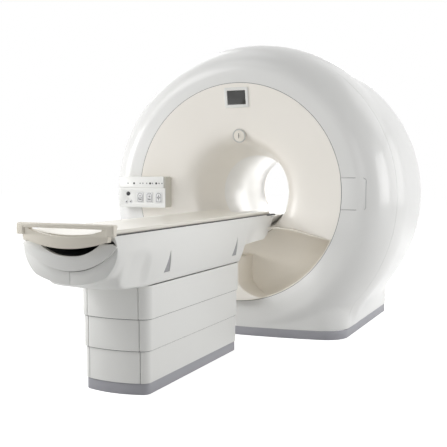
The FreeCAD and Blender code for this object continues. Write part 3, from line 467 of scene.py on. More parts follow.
# inserts of the hand recesses: dull grey plastic
insert_grey = moulded("moulded_insert_grey", "#98989a", "#a0a0a2", 0.5, 1.5, 0.08)
# rubber in the cover seams
seam_grey = moulded("seam_rubber_grey", "#55555a", "#5c5c61", 0.6, 1.5, 0.08)
# channel and hollow: black plastic, dull; it also paints the shade in the gaps under the shroud
# lips
recess_dark = moulded("moulded_recess_black", "#26262a", "#303034", 0.5, 1.5, 0.1)
# control panel: smooth moulded faces, a greyer box behind them
panel_white = moulded("moulded_panel_white", "#e2e2df", "#e6e6e3", 0.35, 1.5, 0.05, 0.2)
panel_side = moulded("moulded_panel_grey", "#cdcabf", "#d2cfc5", 0.45, 1.5, 0.06)
# small trim: moulded, smooth
trim_grey = moulded("moulded_trim_grey", "#b9b9b6", "#c1c1be", 0.35, 1.5, 0.05)
# keys: printed film over domes, and black rubber
key_white = moulded("film_key_white", "#dcdcdc", "#e0e0e0", 0.4, 1.5, 0.05)
key_dark = moulded("rubber_key_black", "#17171a", "#1d1d20", 0.6, 1.0, 0.15)
# aiming window and display glass: polished
lens_clear = moulded("clear_lens", "#e6e1d6", "#eae5db", 0.15, 8.0, 0.02, 0.5)
screen_dark = moulded("dark_screen_glass", "#2c2c2b", "#343432", 0.12, 20.0, 0.01, 0.4)
# tunnel: laminated tube, smooth
tunnel_white = moulded("laminate_tunnel_white", "#ecebe8", "#f0efec", 0.34, 4.0, 0.03, 0.2)
# coils: cast in filled resin
coil_resin = moulded("cast_coil_resin", "#8a7442", "#947d49", 0.45, 4.0, 0.1)
# rollers and lamp lenses: grey plastic
roller_grey = moulded("moulded_roller_grey", "#77777a", "#7f7f82", 0.5, 1.5, 0.08)
# hidden steel: sprayed vessel, painted frame
vessel_paint = moulded("painted_vessel_steel", "#b4bac0", "#bcc2c8", 0.35, 2.5, 0.06)
frame_steel = moulded("painted_frame_steel", "#55585c", "#5c5f63", 0.45, 2.0, 0.1)
# lift mast: drawn and anodised aluminium
mast_alloy = drawn_metal("drawn_mast_aluminium", "#b9bcc0", "#c6c9cc", 0.35, 1.2)

FINISHES = {
    "cover_white": cover_white,
    "inner_cream": inner_cream,
    "bay_beige": bay_beige,
    "skirt_slate": skirt_slate,
    "table_white": table_white,
    "grip_beige": grip_beige,
    "board_cream": board_cream,
    "recess_dark": recess_dark,
    "panel_white": panel_white,
    "panel_side": panel_side,
    "trim_grey": trim_grey,
    "key_white": key_white,
    "key_dark": key_dark,
    "lens_clear": lens_clear,
    "screen_dark": screen_dark,
    "tunnel_white": tunnel_white,
    "coil_resin": coil_resin,
    "roller_grey": roller_grey,
    "vessel_paint": vessel_paint,
    "frame_steel": frame_steel,
    "mast_alloy": mast_alloy,
}

node_slots = {entry["node"]: entry["material_slot"] for entry in frame["record"]["subparts"]}
node_bodies = {
    node: body
    for body, nodes in frame["record"]["behaviour"]["bodies"].items()
    for node in nodes
}
for node_name, piece in frame["nodes"].items():
    piece.data.materials.clear()
    piece.data.materials.append(FINISHES[node_slots[node_name]])


# --- the drum and the ring ------------------------------------------------------------


def drum_field(x, y, z):
    """Below nought inside the drum and the plinth, which run into each other softly."""
    depth = y - FACE_Y
    radius = np.hypot(x, z - (BORE_Z - DRUM_DROP))
    front = depth < DRUM_PEAK_DEPTH
    flat = np.where(front, DRUM_FLAT_RADIUS, DRUM_BACK_RADIUS)
    reach = np.where(front, DRUM_PEAK_DEPTH, BACK_Y - FACE_Y - DRUM_PEAK_DEPTH)
    power = np.where(front, DRUM_FRONT_POWER, DRUM_REAR_POWER)
    along = np.abs(depth - DRUM_PEAK_DEPTH) / reach
    across = np.clip((radius - flat) / (DRUM_RADIUS - flat), 0, None)
    drum = ((along**power + across**power) ** (1 / power) - 1) * DRUM_SHARE
    bow = PLINTH_BOW * (x / PLINTH_HALF) ** 2
    side = np.abs(x) - (PLINTH_HALF - PLINTH_CORNER)
    ahead = PLINTH_FRONT + bow + PLINTH_CORNER - depth
    corner = np.hypot(np.clip(side, 0, None), np.clip(ahead, 0, None))
    plinth = np.where((side > 0) & (ahead > 0), corner, np.maximum(side, ahead)) - PLINTH_CORNER
    plinth = np.maximum(plinth, depth - (BACK_Y - FACE_Y))
    plinth = np.maximum(plinth, z - PLINTH_TOP)
    share = np.clip((depth - BLEND_START) / BLEND_RISE, 0, 1)
    share = share * np.clip((BLEND_END - depth) / BLEND_FALL, 0, 1)
    blend = LEAST_BLEND + PLINTH_BLEND * share * share * (3 - 2 * share)
    near = np.clip(0.5 + (plinth - drum) / (2 * blend), 0, 1)
    return plinth * (1 - near) + drum * near - blend * near * (1 - near)


def drum_skin(name, around=300, along=120):
    """The outer skin of both covers, found by rays from inside each upright slice."""
    start_radius, start_y = 0.52, -0.20
    farthest, halvings, below_floor = 3.5, 44, -0.25
    first = math.atan2(SEAM_RADIUS - start_radius, start_y - FACE_Y)
    last = math.atan2(BACK_OPENING - start_radius, start_y - BACK_Y)
    turn = np.linspace(0, 2 * math.pi, around, endpoint=False)[None, :]
    aim = np.linspace(first, last, along)[:, None]
    step_radius, step_y = np.sin(aim), -np.cos(aim)
    low, high = np.zeros((along, around)), np.full((along, around), farthest)
    for _ in range(halvings):
        middle = (low + high) / 2
        radius, y = start_radius + step_radius * middle, start_y + step_y * middle
        x, z = radius * np.sin(turn), BORE_Z + radius * np.cos(turn)
        outside = (drum_field(x, y, z) > 0) | (z < below_floor)
        high, low = np.where(outside, middle, high), np.where(outside, low, middle)
    radius, y = start_radius + step_radius * low, start_y + step_y * low
    points = np.stack(
        [radius * np.sin(turn), y + 0 * turn, BORE_Z + radius * np.cos(turn)], axis=2
    )
    return tube_from_rings(name, points)


skin = drum_skin("cover_skin")
outward(skin)
slice_away(skin, (0, 0, SKIRT_TOP + SKIRT_GAP), (0, 0, -1))
ring = copy_of(skin, "ring_shell")
slice_away(ring, (0, JOINT_Y - SEAM_GAP / 2, 0), (0, 1, 0))
drum = copy_of(skin, "drum_shell")
slice_away(drum, (0, JOINT_Y + SEAM_GAP / 2, 0), (0, -1, 0))
bpy.data.objects.remove(skin)
for piece, node_name in ((ring, "ring_cover"), (drum, "rear_cover")):
    thicken(piece, COVER_WALL)
    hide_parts(node_name)
    finish_piece(piece, "scanner_base", cover_white, 50)


# --- dished front cover, docking bay, tower and rear funnel -----------------------------

BAY_Y = FACE_Y + 0.250
DISH_RIM = SEAM_RADIUS - 0.0035
BAY_FLAT_RADIUS = 0.640
# play between the bay's roof and the dished cover
BAY_ROOF_PLAY = 0.001
ROOF_SIDE, ROOF_MIDDLE = 0.768, 0.861
# distance from the middle over the ring's radius, share of the roof's rise
ROOF_LINE = [
    (0.40, 1),
    (0.50, 0.96),
    (0.60, 0.81),
    (0.70, 0.56),
    (0.80, 0.35),
    (0.90, 0.17),
    (1, 0),
]
TUNNEL_RADIUS = 0.300
THROAT_RADIUS = 0.371
# the opening for the table's head, which is narrower at its back
HEAD_HALF_FRONT, HEAD_HALF_BACK = 0.276, 0.258
HEAD_FLOOR = 0.60
# how far a cutter reaches past what it cuts
PAST = 0.05


def roof_prism(inset, front, back):
    """What lies under the docking bay's roof, level in the middle and falling to the sides."""
    shares = np.array(ROOF_LINE)
    at = np.linspace(0.30, 1.0, 57)
    rise = eased(shares[:, 0], shares[:, 1], np.clip(at, shares[0, 0], 1.0))
    z = ROOF_SIDE + (ROOF_MIDDLE - ROOF_SIDE) * rise - inset
    right = [(float(SEAM_RADIUS * a), float(b)) for a, b in zip(at, z)]
    edge, low = SEAM_RADIUS + 0.1, -0.1
    right.append((edge, right[-1][1] - 0.01))
    left = [(-x, z) for x, z in right]
    return prism("roof_prism", [(-edge, low), (edge, low)] + right[::-1] + left, front, back)


def head_room(front, back):
    """The upright opening through which the table's head comes down."""
    wide, narrow = HEAD_HALF_FRONT, HEAD_HALF_BACK
    corners = [(-wide, front), (wide, front), (narrow, back), (-narrow, back)]
    return prism("head_room", corners, HEAD_FLOOR, HULL_RIM, "z")


def bowl(name, inset, front, back, steps=12, ahead=None):
    """The docking bay's bowl: round at its rim, flat at its wall. It may start further ahead."""
    rim, flat = DISH_RIM - inset, BAY_FLAT_RADIUS - inset
    profile = [(0, front)]
    if ahead is not None:
        profile = [(0, ahead), (rim, ahead)]
    for i in range(steps + 1):
        turn = math.radians(90 * i / steps)
        radius = flat + (rim - flat) * math.cos(turn) ** 0.7
        profile.append((radius, front + (back - front) * math.sin(turn) ** 0.85))
    return turned(name, profile + [(0, back)], 144)


def dish_profile():
    """(radius, y) of the cover's front: nearly flat, then rolling into the tunnel."""
    radii = [TUNNEL_RADIUS, 0.318, 0.340, 0.358, 0.372, 0.390, 0.415]
    radii += [0.450, 0.500, 0.560, 0.640, 0.760, DISH_RIM]
    depths = [0.470, 0.400, 0.320, 0.250, 0.200, 0.155, 0.118]
    depths += [0.090, 0.068, 0.052, 0.037, 0.016, 0.0]
    # closer together where the cover rolls into the tunnel
    share = np.linspace(0, 1, 64) ** 1.6
    at = radii[0] + (radii[-1] - radii[0]) * share
    return [(float(r), FACE_Y + float(d)) for r, d in zip(at, eased(radii, depths, at))]


dish_front = dish_profile()
dish_back = [(r + COVER_WALL * 0.8, y + COVER_WALL) for r, y in dish_front[:-1]]
dish_back.append((dish_front[-1][0], dish_front[-1][1] + COVER_WALL))
dish = turned("dish_shell", dish_front[::-1] + dish_back, 192)
carve(dish, roof_prism(0, FACE_Y - PAST, BAY_Y))
carve(dish, head_room(FACE_Y - PAST, BAY_Y))
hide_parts("inner_cover")
finish_piece(dish, "scanner_base", inner_cream, 40)

bay = bowl("bay_shell", 0, FACE_Y, BAY_Y + COVER_WALL)
carve(bay, roof_prism(BAY_ROOF_PLAY, FACE_Y - PAST, BAY_Y + 2 * PAST), "INTERSECT")
air = bowl("bay_air", COVER_WALL, FACE_Y - 0.001, BAY_Y)
carve(air, roof_prism(COVER_WALL, FACE_Y - PAST, BAY_Y + 2 * PAST), "INTERSECT")
carve(bay, air)
# the round hole in the bay's wall, which the tunnel's mouth comes through
throat_front, throat_back = BAY_Y - 0.005, BAY_Y + 0.04
throat = [(0, throat_front), (THROAT_RADIUS, throat_front)]
throat += [(THROAT_RADIUS, throat_back), (0, throat_back)]
carve(bay, turned("throat", throat, 96))
carve(bay, head_room(FACE_Y - PAST, BAY_Y))
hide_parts("docking_bay")
finish_piece(bay, "scanner_base", bay_beige, 40)

TOWER_FRONT, TOWER_HALF, TOWER_TOP, TOWER_LOW = FACE_Y - 0.060, 0.046, 0.622, 0.20
TOWER_PLATE, TOWER_JOINT = 0.016, 0.0005
# how far the room that the tower fills starts ahead of it
TOWER_ROOM_AHEAD = 0.01
FLARE_HALF, FLARE_LOW, FLARE_RISE = 0.260, 0.313, 0.130


def tower_outline(steps=24):
    """(x, z) corners: a narrow post running out into a wide foot."""
    right = [(TOWER_HALF, TOWER_TOP)]
    for i in range(steps + 1):
        turn = math.radians(90 * i / steps)
        x = FLARE_HALF - (FLARE_HALF - TOWER_HALF) * math.cos(turn) ** 1.3
        right.append((x, FLARE_LOW + FLARE_RISE * (1 - math.sin(turn))))
    right.append((FLARE_HALF, TOWER_LOW))
    return right + [(-x, z) for x, z in right[::-1]]


# its front plate is cream; the post behind it has the bay's darker beige, which also paints the
# shade that falls on the tower's sides
for name, start, end, slot_name in (
    ("tower_front", TOWER_FRONT, TOWER_FRONT + TOWER_PLATE, "inner_cream"),
    ("tower_post", TOWER_FRONT + TOWER_PLATE + TOWER_JOINT, BAY_Y, "bay_beige"),
):
    tower = prism(name, tower_outline(), start, end)
    ahead = TOWER_FRONT - TOWER_ROOM_AHEAD
    carve(tower, bowl("tower_room", COVER_WALL, FACE_Y, BAY_Y, ahead=ahead), "INTERSECT")
    merge_and_face_out(tower)
    round_edges(tower, 0.003, 50)
    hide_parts("docking_tower")
    finish_piece(tower, "scanner_base", FINISHES[slot_name], 35)


# rubber in the seam between the ring and the dished cover
RUBBER_PLAY, RUBBER_SUNK, RUBBER_BACK = 0.0002, 0.0012, 0.008
inner, outer = DISH_RIM + RUBBER_PLAY, SEAM_RADIUS - RUBBER_PLAY
rubber_front, rubber_back = FACE_Y + RUBBER_SUNK, FACE_Y + RUBBER_BACK
seam = [(inner, rubber_front), (outer, rubber_front), (outer, rubber_back), (inner, rubber_back)]
seam_rubber = turned("seam_rubber", seam, 192)
finish_piece(seam_rubber, "scanner_base", seam_grey, 40)


def rear_funnel_profile(steps=28):
    """(radius, y) of the closed loop that makes the rear cover round the tunnel."""
    rim, start = BACK_OPENING - 0.003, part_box("tunnel_liner")[1].y
    outer = []
    for i in range(steps + 1):
        turn = math.radians(90 * i / steps)
        radius = rim - (rim - TUNNEL_RADIUS) * math.cos(turn) ** 0.9
        outer.append((radius, BACK_Y - (BACK_Y - start) * (1 - math.sin(turn)) ** 1.1))
    inner = [(r + COVER_WALL * 0.8, y - COVER_WALL) for r, y in outer[1:-1]]
    outer.append((rim, BACK_Y - COVER_WALL))
    return outer + inner[::-1] + [(TUNNEL_RADIUS + COVER_WALL, start)]


funnel = turned("rear_funnel", rear_funnel_profile(), 160)
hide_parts("back_cover")
finish_piece(funnel, "scanner_base", inner_cream, 40)


# --- table body ---------------------------------------------------------------------

# y behind the ring face, half width at the rim, half width and height of the waist,
# half width and height of the lower corner, lowest line, hollow between waist and corner
HULL_STATIONS = [
    (-2.246, 0.278, 0.296, 0.892, 0.224, 0.740, 0.692, 0),
    (-2.218, 0.278, 0.300, 0.884, 0.224, 0.732, 0.683, 0),
    (-2.162, 0.272, 0.300, 0.878, 0.222, 0.726, 0.678, 0.006),
    (-2.110, 0.270, 0.299, 0.872, 0.224, 0.672, 0.656, 0.026),
    (-2.050, 0.270, 0.298, 0.868, 0.228, 0.654, 0.648, 0.036),
    (-1.930, 0.270, 0.295, 0.860, 0.232, 0.647, 0.645, 0.034),
    (-1.852, 0.270, 0.290, 0.836, 0.235, 0.641, 0.640, 0.008),
    (-1.747, 0.270, 0.287, 0.822, 0.236, 0.6405, 0.640, 0),
    (-1.100, 0.270, 0.286, 0.820, 0.236, 0.6405, 0.640, 0),
    (-0.500, 0.270, 0.286, 0.820, 0.238, 0.6405, 0.640, 0),
    (-0.478, 0.270, 0.286, 0.832, 0.248, 0.686, 0.679, 0),
    (-0.444, 0.270, 0.284, 0.844, 0.252, 0.736, 0.728, 0),
    (-0.390, 0.270, 0.282, 0.854, 0.254, 0.758, 0.751, 0),
    (-0.100, 0.270, 0.277, 0.866, 0.256, 0.768, 0.760, 0),
    (0.260, 0.248, 0.254, 0.878, 0.246, 0.772, 0.764, 0),
]
HULL_WALL = 0.008
# the wall at the foot end is thicker, and the fascia's opening is cut into it
FOOT_WALL = 0.026
# half the gap between the two shells
HULL_SPLIT = 0.0015
# (y behind the ring face, z) of what is taken off the head end
HEAD_SLANT = [
    (-0.055, 0.60),
    (-0.055, 0.762),
    (0.025, 0.830),
    (0.196, 0.970),
    (0.60, 0.970),
    (0.60, 0.60),
]
# hand recesses: places of their middles behind the ring face, heights, half widths
RECESS_PLACES = (-1.651, -0.648)
RECESS_LOW, RECESS_HIGH = 0.705, 0.835
RECESS_HALF_LOW, RECESS_HALF_HIGH = 0.038, 0.012
# depth of the recess, and of its grey insert's face and back
RECESS_DEPTH, INSERT_FACE, INSERT_BACK = 0.005, 0.0042, 0.0056


def softened_line(line, rounds):
    """A line of even points, each drawn towards its neighbours, over and over."""
    for _ in range(rounds):
        middle = (line[:-2] + 2 * line[1:-1] + line[2:]) / 4
        line = np.concatenate([line[:1], middle, line[-1:]])
    return line


def hull_form(name, inset):
    """The table body's filled form, head end cut to its slant."""
    stations = np.array(HULL_STATIONS)
    # rows close together at both ends, and further apart along the straight middle
    foot_end, head_end = stations[0, 0], stations[-1, 0]
    rows = [
        np.linspace(foot_end, -1.80, 60),
        np.linspace(-1.78, -0.56, 30),
        np.linspace(-0.54, head_end, 60),
    ]
    rows = np.concatenate(rows)
    grid = []
    for along in rows:
        rim_half, half, waist, corner, corner_z, low, cove = [
            float(eased(stations[:, 0], stations[:, k], np.array([along]))[0]) for k in range(1, 8)
        ]
        rim_half, half, corner = rim_half - inset, half - inset, corner - inset * 0.8
        corner_z, low = corner_z + inset, low + inset
        z = np.linspace(HULL_RIM, corner_z, 34)[:-1]
        # a parabola through rim, waist and lower corner
        side = (
            rim_half * (z - waist) * (z - corner_z) / ((HULL_RIM - waist) * (HULL_RIM - corner_z))
            + half * (z - HULL_RIM) * (z - corner_z) / ((waist - HULL_RIM) * (waist - corner_z))
            + corner * (z - HULL_RIM) * (z - waist) / ((corner_z - HULL_RIM) * (corner_z - waist))
        )
        share = (z - corner_z) / (waist - corner_z)
        side = side - cove * np.clip(4 * share * (1 - share), 0, None)
        x = np.linspace(corner, -corner, 40)
        under = low + (corner_z - low) * (x / corner) ** 2
        half_line = np.stack([side, z], axis=1)
        bottom = np.stack([x, under], axis=1)
        line = np.concatenate([half_line, bottom, half_line[::-1] * [-1, 1]])
        line = softened_line(line, 4)
        grid.append([(px, FACE_Y + along, pz) for px, pz in line])
    piece = tube_from_rings(name, np.array(grid))
    close_ends(piece)
    corners = [(FACE_Y + y - inset * 1.5, z) for y, z in HEAD_SLANT]
    return carve(piece, prism("head_cut", corners, -0.4, 0.4, "x"))


def recess_prism(middle, side):
    """A wedge-shaped hand recess in the table body's side."""
    corners = [
        (middle - RECESS_HALF_LOW, RECESS_LOW),
        (middle + RECESS_HALF_LOW, RECESS_LOW),
        (middle + RECESS_HALF_HIGH, RECESS_HIGH),
    ]
    corners = [(FACE_Y + y, z) for y, z in corners]
    inside, outside = 0.20, 0.33
    low, high = sorted((side * inside, side * outside))
    return prism("recess", corners, low, high, "x")


# one would make the fascia's lower edge half an ellipse; more than one draws its sides in
FASCIA_ROUNDING = 1.65


def fascia_line(half, low, middle, count=48):
    """(x, z) of the fascia's lower edge from left to right."""
    points = []
    for i in range(count + 1):
        turn = math.radians(180 * i / count - 90)
        fall = (middle - low) * math.cos(turn) ** FASCIA_ROUNDING
        points.append((half * math.sin(turn), middle - fall))
    return points


body = hull_form("hull_body", 0)
air = hull_form("hull_air", HULL_WALL)
slice_away(air, (0, HULL_START + FOOT_WALL, 0), (0, -1, 0), True)
carve(body, air)


def upright_block(name, half, low, high, front, back):
    """A block across the table's middle line, half as wide as stated to each side."""
    return prism(name, [(-half, low), (half, low), (half, high), (-half, high)], front, back)


# openings for the channel, the docking tower and the mast: half widths, lowest and highest
CHANNEL_OPENING, TOWER_OPENING = (0.262, 0.86, 1.1), (0.060, 0.5, 1.0)
MAST_OPENING, MAST_PLAY = (0.55, 0.68), Vector((0.006, 0.006, 0))
carve(body, upright_block("rim_lid", *CHANNEL_OPENING, HULL_START + 0.004, FACE_Y + 0.19))
carve(body, upright_block("tower_slot", *TOWER_OPENING, FACE_Y - 0.068, 0))
low_mast, high_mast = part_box("mast_inner")
low_mast, high_mast = Vector(low_mast) - MAST_PLAY, Vector(high_mast) + MAST_PLAY
mast_room = [
    (low_mast.x, low_mast.y),
    (high_mast.x, low_mast.y),
    (high_mast.x, high_mast.y),
    (low_mast.x, high_mast.y),
]
carve(body, prism("mast_room", mast_room, *MAST_OPENING, "z"))

skin_at_depth = hull_form("recess_floor", RECESS_DEPTH)
insert_top = hull_form("insert_top", INSERT_FACE)
insert_foot = hull_form("insert_foot", INSERT_BACK)
inserts = []
for middle in RECESS_PLACES:
    for side in (-1, 1):
        wedge = recess_prism(middle, side)
        insert = copy_of(wedge, f"recess_insert_{len(inserts)}")
        carve(insert, insert_top, "INTERSECT", True)
        carve(insert, insert_foot, keep=True)
        inserts.append((insert, side))
        carve(wedge, skin_at_depth, keep=True)
        carve(body, wedge)
for spent in (skin_at_depth, insert_top, insert_foot):
    bpy.data.objects.remove(spent)
for insert, side in inserts:
    merge_and_face_out(insert)
    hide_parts("hull_left" if side < 0 else "hull_right")
    finish_piece(insert, "table_lift", insert_grey, 35)

FASCIA_ROOM_HALF, FASCIA_ROOM_LOW, FASCIA_ROOM_MIDDLE = 0.2930, 0.7615, 0.905
FASCIA_RIM_HALF, FASCIA_RIM, FASCIA_DEPTH = 0.270, 0.935, 0.030
outline = fascia_line(FASCIA_ROOM_HALF, FASCIA_ROOM_LOW, FASCIA_ROOM_MIDDLE)
outline += [(FASCIA_RIM_HALF, FASCIA_RIM), (-FASCIA_RIM_HALF, FASCIA_RIM)]
carve(body, prism("fascia_room", outline, HULL_START - PAST, HULL_START + FASCIA_DEPTH))
merge_and_face_out(body)
for name, side, node_name in (("body_left", -1, "hull_left"), ("body_right", 1, "hull_right")):
    half = copy_of(body, name)
    slice_away(half, (side * HULL_SPLIT, 0, 0), (-side, 0, 0), True)
    merge_and_face_out(half)
    round_edges(half, 0.0018, 50, 2)
    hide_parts(node_name)
    finish_piece(half, "table_lift", table_white, 35)
bpy.data.objects.remove(body)

# black strips along the gap between the rim and the tabletop: painted shadow of that gap
RIM_SHADOW_STRIP = [
    (0.2450, 0.950),
    (0.2685, 0.950),
    (0.2685, 0.9595),
    (0.2500, 0.9625),
    (0.2450, 0.9600),
]
for side, name in ((-1, "rim_shadow_strip_left"), (1, "rim_shadow_strip_right")):
    corners = [(side * x, z) for x, z in RIM_SHADOW_STRIP]
    shadow_strip = prism(name, corners, HULL_START + 0.006, FACE_Y + 0.178)
    merge_and_face_out(shadow_strip)
    round_edges(shadow_strip, 0.0012, 30, 2)
    finish_piece(shadow_strip, "table_lift", key_dark, 35)


# --- pieces of the CAD with their edges rounded ------------------------------------------

# width of the rounding, and the angle from which an edge gets it
SOFTENED = {
    "foot_fascia": (0.006, 35),
    "foot_grip": (0.004, 35),
    "tabletop": (0.003, 35),
    "channel_liner": (0.001, 30),
    "panel_bracket": (0.004, 40),
    "panel_upper": (0.003, 40),
    "panel_lower": (0.003, 40),
    "pictogram_key_1": (0.0012, 40),
    "pictogram_key_2": (0.0012, 40),
    "pictogram_key_3": (0.0012, 40),
    "arrow_key_1": (0.0012, 40),
    "arrow_key_2": (0.0012, 40),
    "round_key": (0.0012, 40),
    "display_frame": (0.003, 40),
    "display_glass": (0.001, 40),
    "lamp_ring": (0.0012, 40),
    "lamp_lens": (0.001, 40),
    "side_hatch": (0.003, 40),
    "plinth_skirt": (0.003, 40),
    "column_skirt": (0.003, 40),
    "tunnel_liner": (0.002, 40),
    "tunnel_bridge": (0.003, 40),
    "base_plate": (0.002, 40),
}
for node_name, (edge, angle) in SOFTENED.items():
    softened(node_name, edge, angle)


# upright seams of the shrouds, and half their gap
SHROUD_SEAM, SHROUD_GAP_HALF = 0.172, 0.0014


def panelled(node_name):
    """A shroud made of a front-and-back panel and two side panels, meeting at upright seams."""
    source = softened(node_name, 0.0, 30)
    parts = []
    for low, high in ((-1.0, -SHROUD_SEAM), (-SHROUD_SEAM, SHROUD_SEAM), (SHROUD_SEAM, 1.0)):
        part = copy_of(source, f"{node_name}_panel_{len(parts)}")
        slice_away(part, (low + SHROUD_GAP_HALF, 0, 0), (-1, 0, 0), True)
        slice_away(part, (high - SHROUD_GAP_HALF, 0, 0), (1, 0, 0), True)
        parts.append(part)
    whole = joined(parts)
    bpy.data.objects.remove(source)
    merge_and_face_out(whole)
    round_edges(whole, 0.0015, 40, 2)
    whole.name = f"{node_name}_panels"
    return finish_as_node(whole, node_name)


# dark bands under the lips: painted shade of the gap between two shrouds
SHADE_BAND_ABOVE, SHADE_BAND_BELOW, SHADE_BAND_SWELL = 0.002, 0.003, 0.0016
for node_name, outer_name in (
    ("lower_shroud", "middle_shroud"),
    ("middle_shroud", "upper_shroud"),
):
    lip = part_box(outer_name)[0].z
    gap_shade = copy_of(frame["nodes"][node_name], f"{node_name}_seal")
    gap_shade.parent = None
    merge_and_face_out(gap_shade)
    slice_away(gap_shade, (0, 0, lip + SHADE_BAND_ABOVE), (0, 0, 1), True)
    slice_away(gap_shade, (0, 0, lip - SHADE_BAND_BELOW), (0, 0, -1), True)
    merge_and_face_out(gap_shade)
    swell(gap_shade, SHADE_BAND_SWELL)
    # black finish here is painted shade, not a part of the machine
    finish_piece(gap_shade, node_bodies[outer_name], recess_dark, 35)

for node_name in ("lower_shroud", "middle_shroud", "upper_shroud"):
    panelled(node_name)


# a rubber gasket shows as a thin line round the side hatch: the hatch's own form, grown all
# round and then sunk along the way its outer face looks
GASKET_SWELL, GASKET_SUNK = 0.0042, 0.0049
gasket = copy_of(frame["nodes"]["side_hatch"], "hatch_gasket")
# the hatch's node is already hidden, and so is its copy until it is shown again
gasket.hide_viewport = False
gasket.hide_render = False
gasket.parent = None
gasket.hide_set(False)
merge_and_face_out(gasket)
outlook = Vector((0, 0, 0))
for face in gasket.data.polygons:
    if face.normal.x > 0.2 and face.normal.y < 0.3:
        outlook += face.normal * face.area
swell(gasket, GASKET_SWELL)
gasket.data.transform(Matrix.Translation(outlook.normalized() * -GASKET_SUNK))
finish_piece(gasket, "scanner_base", seam_grey, 35)


# --- printed marks on the panel and the aiming lamp -------------------------------------


def disc(x, z, radius, count=20):
    """A round spot."""
    steps = [2 * math.pi * i / count for i in range(count)]
    return [(x + radius * math.cos(turn), z + radius * math.sin(turn)) for turn in steps]


def bar(x, z, end_x, end_z, wide):
    """A straight stroke between two places."""
    reach = math.hypot(end_x - x, end_z - z)
    side_x, side_z = -(end_z - z) / reach * wide / 2, (end_x - x) / reach * wide / 2
    return [
        (x + side_x, z + side_z),
        (x - side_x, z - side_z),
        (end_x - side_x, end_z - side_z),
        (end_x + side_x, end_z + side_z),
    ]


def arch(x, z, radius, wide, start, end, count=14):
    """A stroke along part of a circle, from one angle in degrees to another."""
    turns = [math.radians(start + (end - start) * i / count) for i in range(count + 1)]
    far, near = radius + wide / 2, radius - wide / 2
    outer = [(x + far * math.cos(turn), z + far * math.sin(turn)) for turn in turns]
    inner = [(x + near * math.cos(turn), z + near * math.sin(turn)) for turn in turns]
    return outer + inner[::-1]


# how far a mark is let into the face it lies on
MARK_SUNK = 0.0003


def film_mark(name, node_name, shapes, slot_name, place=None, thick=0.0004):
    """Thin printed shapes on the front of a node; outlines in millimetres round its middle."""
    low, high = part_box(node_name)
    middle_x, middle_z = place or ((low.x + high.x) / 2, (low.z + high.z) / 2)
    parts = []
    for outline in shapes:
        corners = [(middle_x + x / 1000, middle_z + z / 1000) for x, z in outline]
        parts.append(prism(f"{name}_{len(parts)}", corners, low.y - thick, low.y + MARK_SUNK))
    mark = joined(parts)
    mark.name = name
    merge_and_face_out(mark)
    return finish_piece(mark, node_bodies[node_name], FINISHES[slot_name], 30)


def key_frame(half_x, half_z, wide):
    """A tall outline with an arched top, which every pictogram stands in."""
    shoulder = half_z - half_x
    return [
        bar(-half_x, -half_z, half_x, -half_z, wide),
        bar(-half_x, -half_z, -half_x, shoulder, wide),
        bar(half_x, -half_z, half_x, shoulder, wide),
        arch(0, shoulder, half_x, wide, 0, 180),
    ]


# a lying figure in the tunnel, a lying figure with an arrow, and a centring cross
lying = [bar(-14, -20, 14, -20, 3.5), disc(-10, -12, 3.8), bar(-5, -13.5, 12, -13.5, 4.5)]
tunnel = [arch(0, -12, 15, 3, 15, 165), bar(-8, 14, 8, 14, 3)]
film_mark("mark_tunnel", "pictogram_key_1", key_frame(21, 35, 2.6) + lying + tunnel, "key_dark")
arrow = [bar(-9, 6, 4, 6, 3.5), [(2, -1), (12, 6), (2, 13)], bar(-8, 20, 8, 20, 3)]
film_mark("mark_travel", "pictogram_key_2", key_frame(21, 35, 2.6) + lying + arrow, "key_dark")
cross = [bar(-16, 0, -7, 0, 3), bar(7, 0, 16, 0, 3), bar(0, -24, 0, -7, 3), bar(0, 7, 0, 24, 3)]
rings = [arch(0, 0, 9, 2.6, 0, 180), arch(0, 0, 9, 2.6, 180, 360), disc(0, 0, 3)]
film_mark("mark_centre", "pictogram_key_3", key_frame(21, 35, 2.6) + cross + rings, "key_dark")
tick = [bar(0, -20, 0, 20, 4), bar(-5, 0, 5, 0, 4)]
film_mark("aiming_tick", "lamp_lens", tick, "key_dark", None, 0.0008)
film_mark("mark_up", "arrow_key_1", [[(-7, -5), (7, -5), (0, 7)]], "key_dark")
film_mark("mark_down", "arrow_key_2", [[(-7, 5), (0, -7), (7, 5)]], "key_dark")
# a row along the upper face: small grey lamps, and wider dark ones between them, in millimetres
LAMP_ROW = (0, 1.197)
grey = [disc(x, 0, 5.5) for x in (-935, -820, -793.5, -758, -705, -644, -617)]
film_mark("pilot_lamps", "panel_upper", grey, "roller_grey", LAMP_ROW, 0.0012)
dark = [disc(x, 0, 8.5) for x in (-877, -727, -670)]
film_mark("dark_lamps", "panel_upper", dark, "key_dark", LAMP_ROW, 0.0014)


# --- studio ---------------------------------------------------------------------------


def greater(tree, first, second):
    """The larger of two values."""
    return add(
        tree, "ShaderNodeMath", {"operation": "MAXIMUM"}, {0: first, 1: second}
    ).outputs[0]


def studio_white(name, colour, lift):
    """Floor: takes the object's shadow, and looks white to the camera and in reflections."""
    material, tree = bare_material(name)
    path = add(tree, "ShaderNodeLightPath")
    seen = greater(tree, path.outputs["Is Camera Ray"], path.outputs["Is Glossy Ray"])
    surface = add(tree, "ShaderNodeBsdfDiffuse", None, {"Color": linear(colour)})
    glow = add(tree, "ShaderNodeEmission", None, {"Color": linear("#ffffff"), "Strength": lift})
    both = add(tree, "ShaderNodeAddShader", None, {0: surface.outputs[0], 1: glow.outputs[0]})
    choice = add(
        tree,
        "ShaderNodeMixShader",
        None,
        {0: seen, 1: surface.outputs[0], 2: both.outputs[0]},
    )
    add(tree, "ShaderNodeOutputMaterial", None, {"Surface": choice.outputs[0]})
    return material


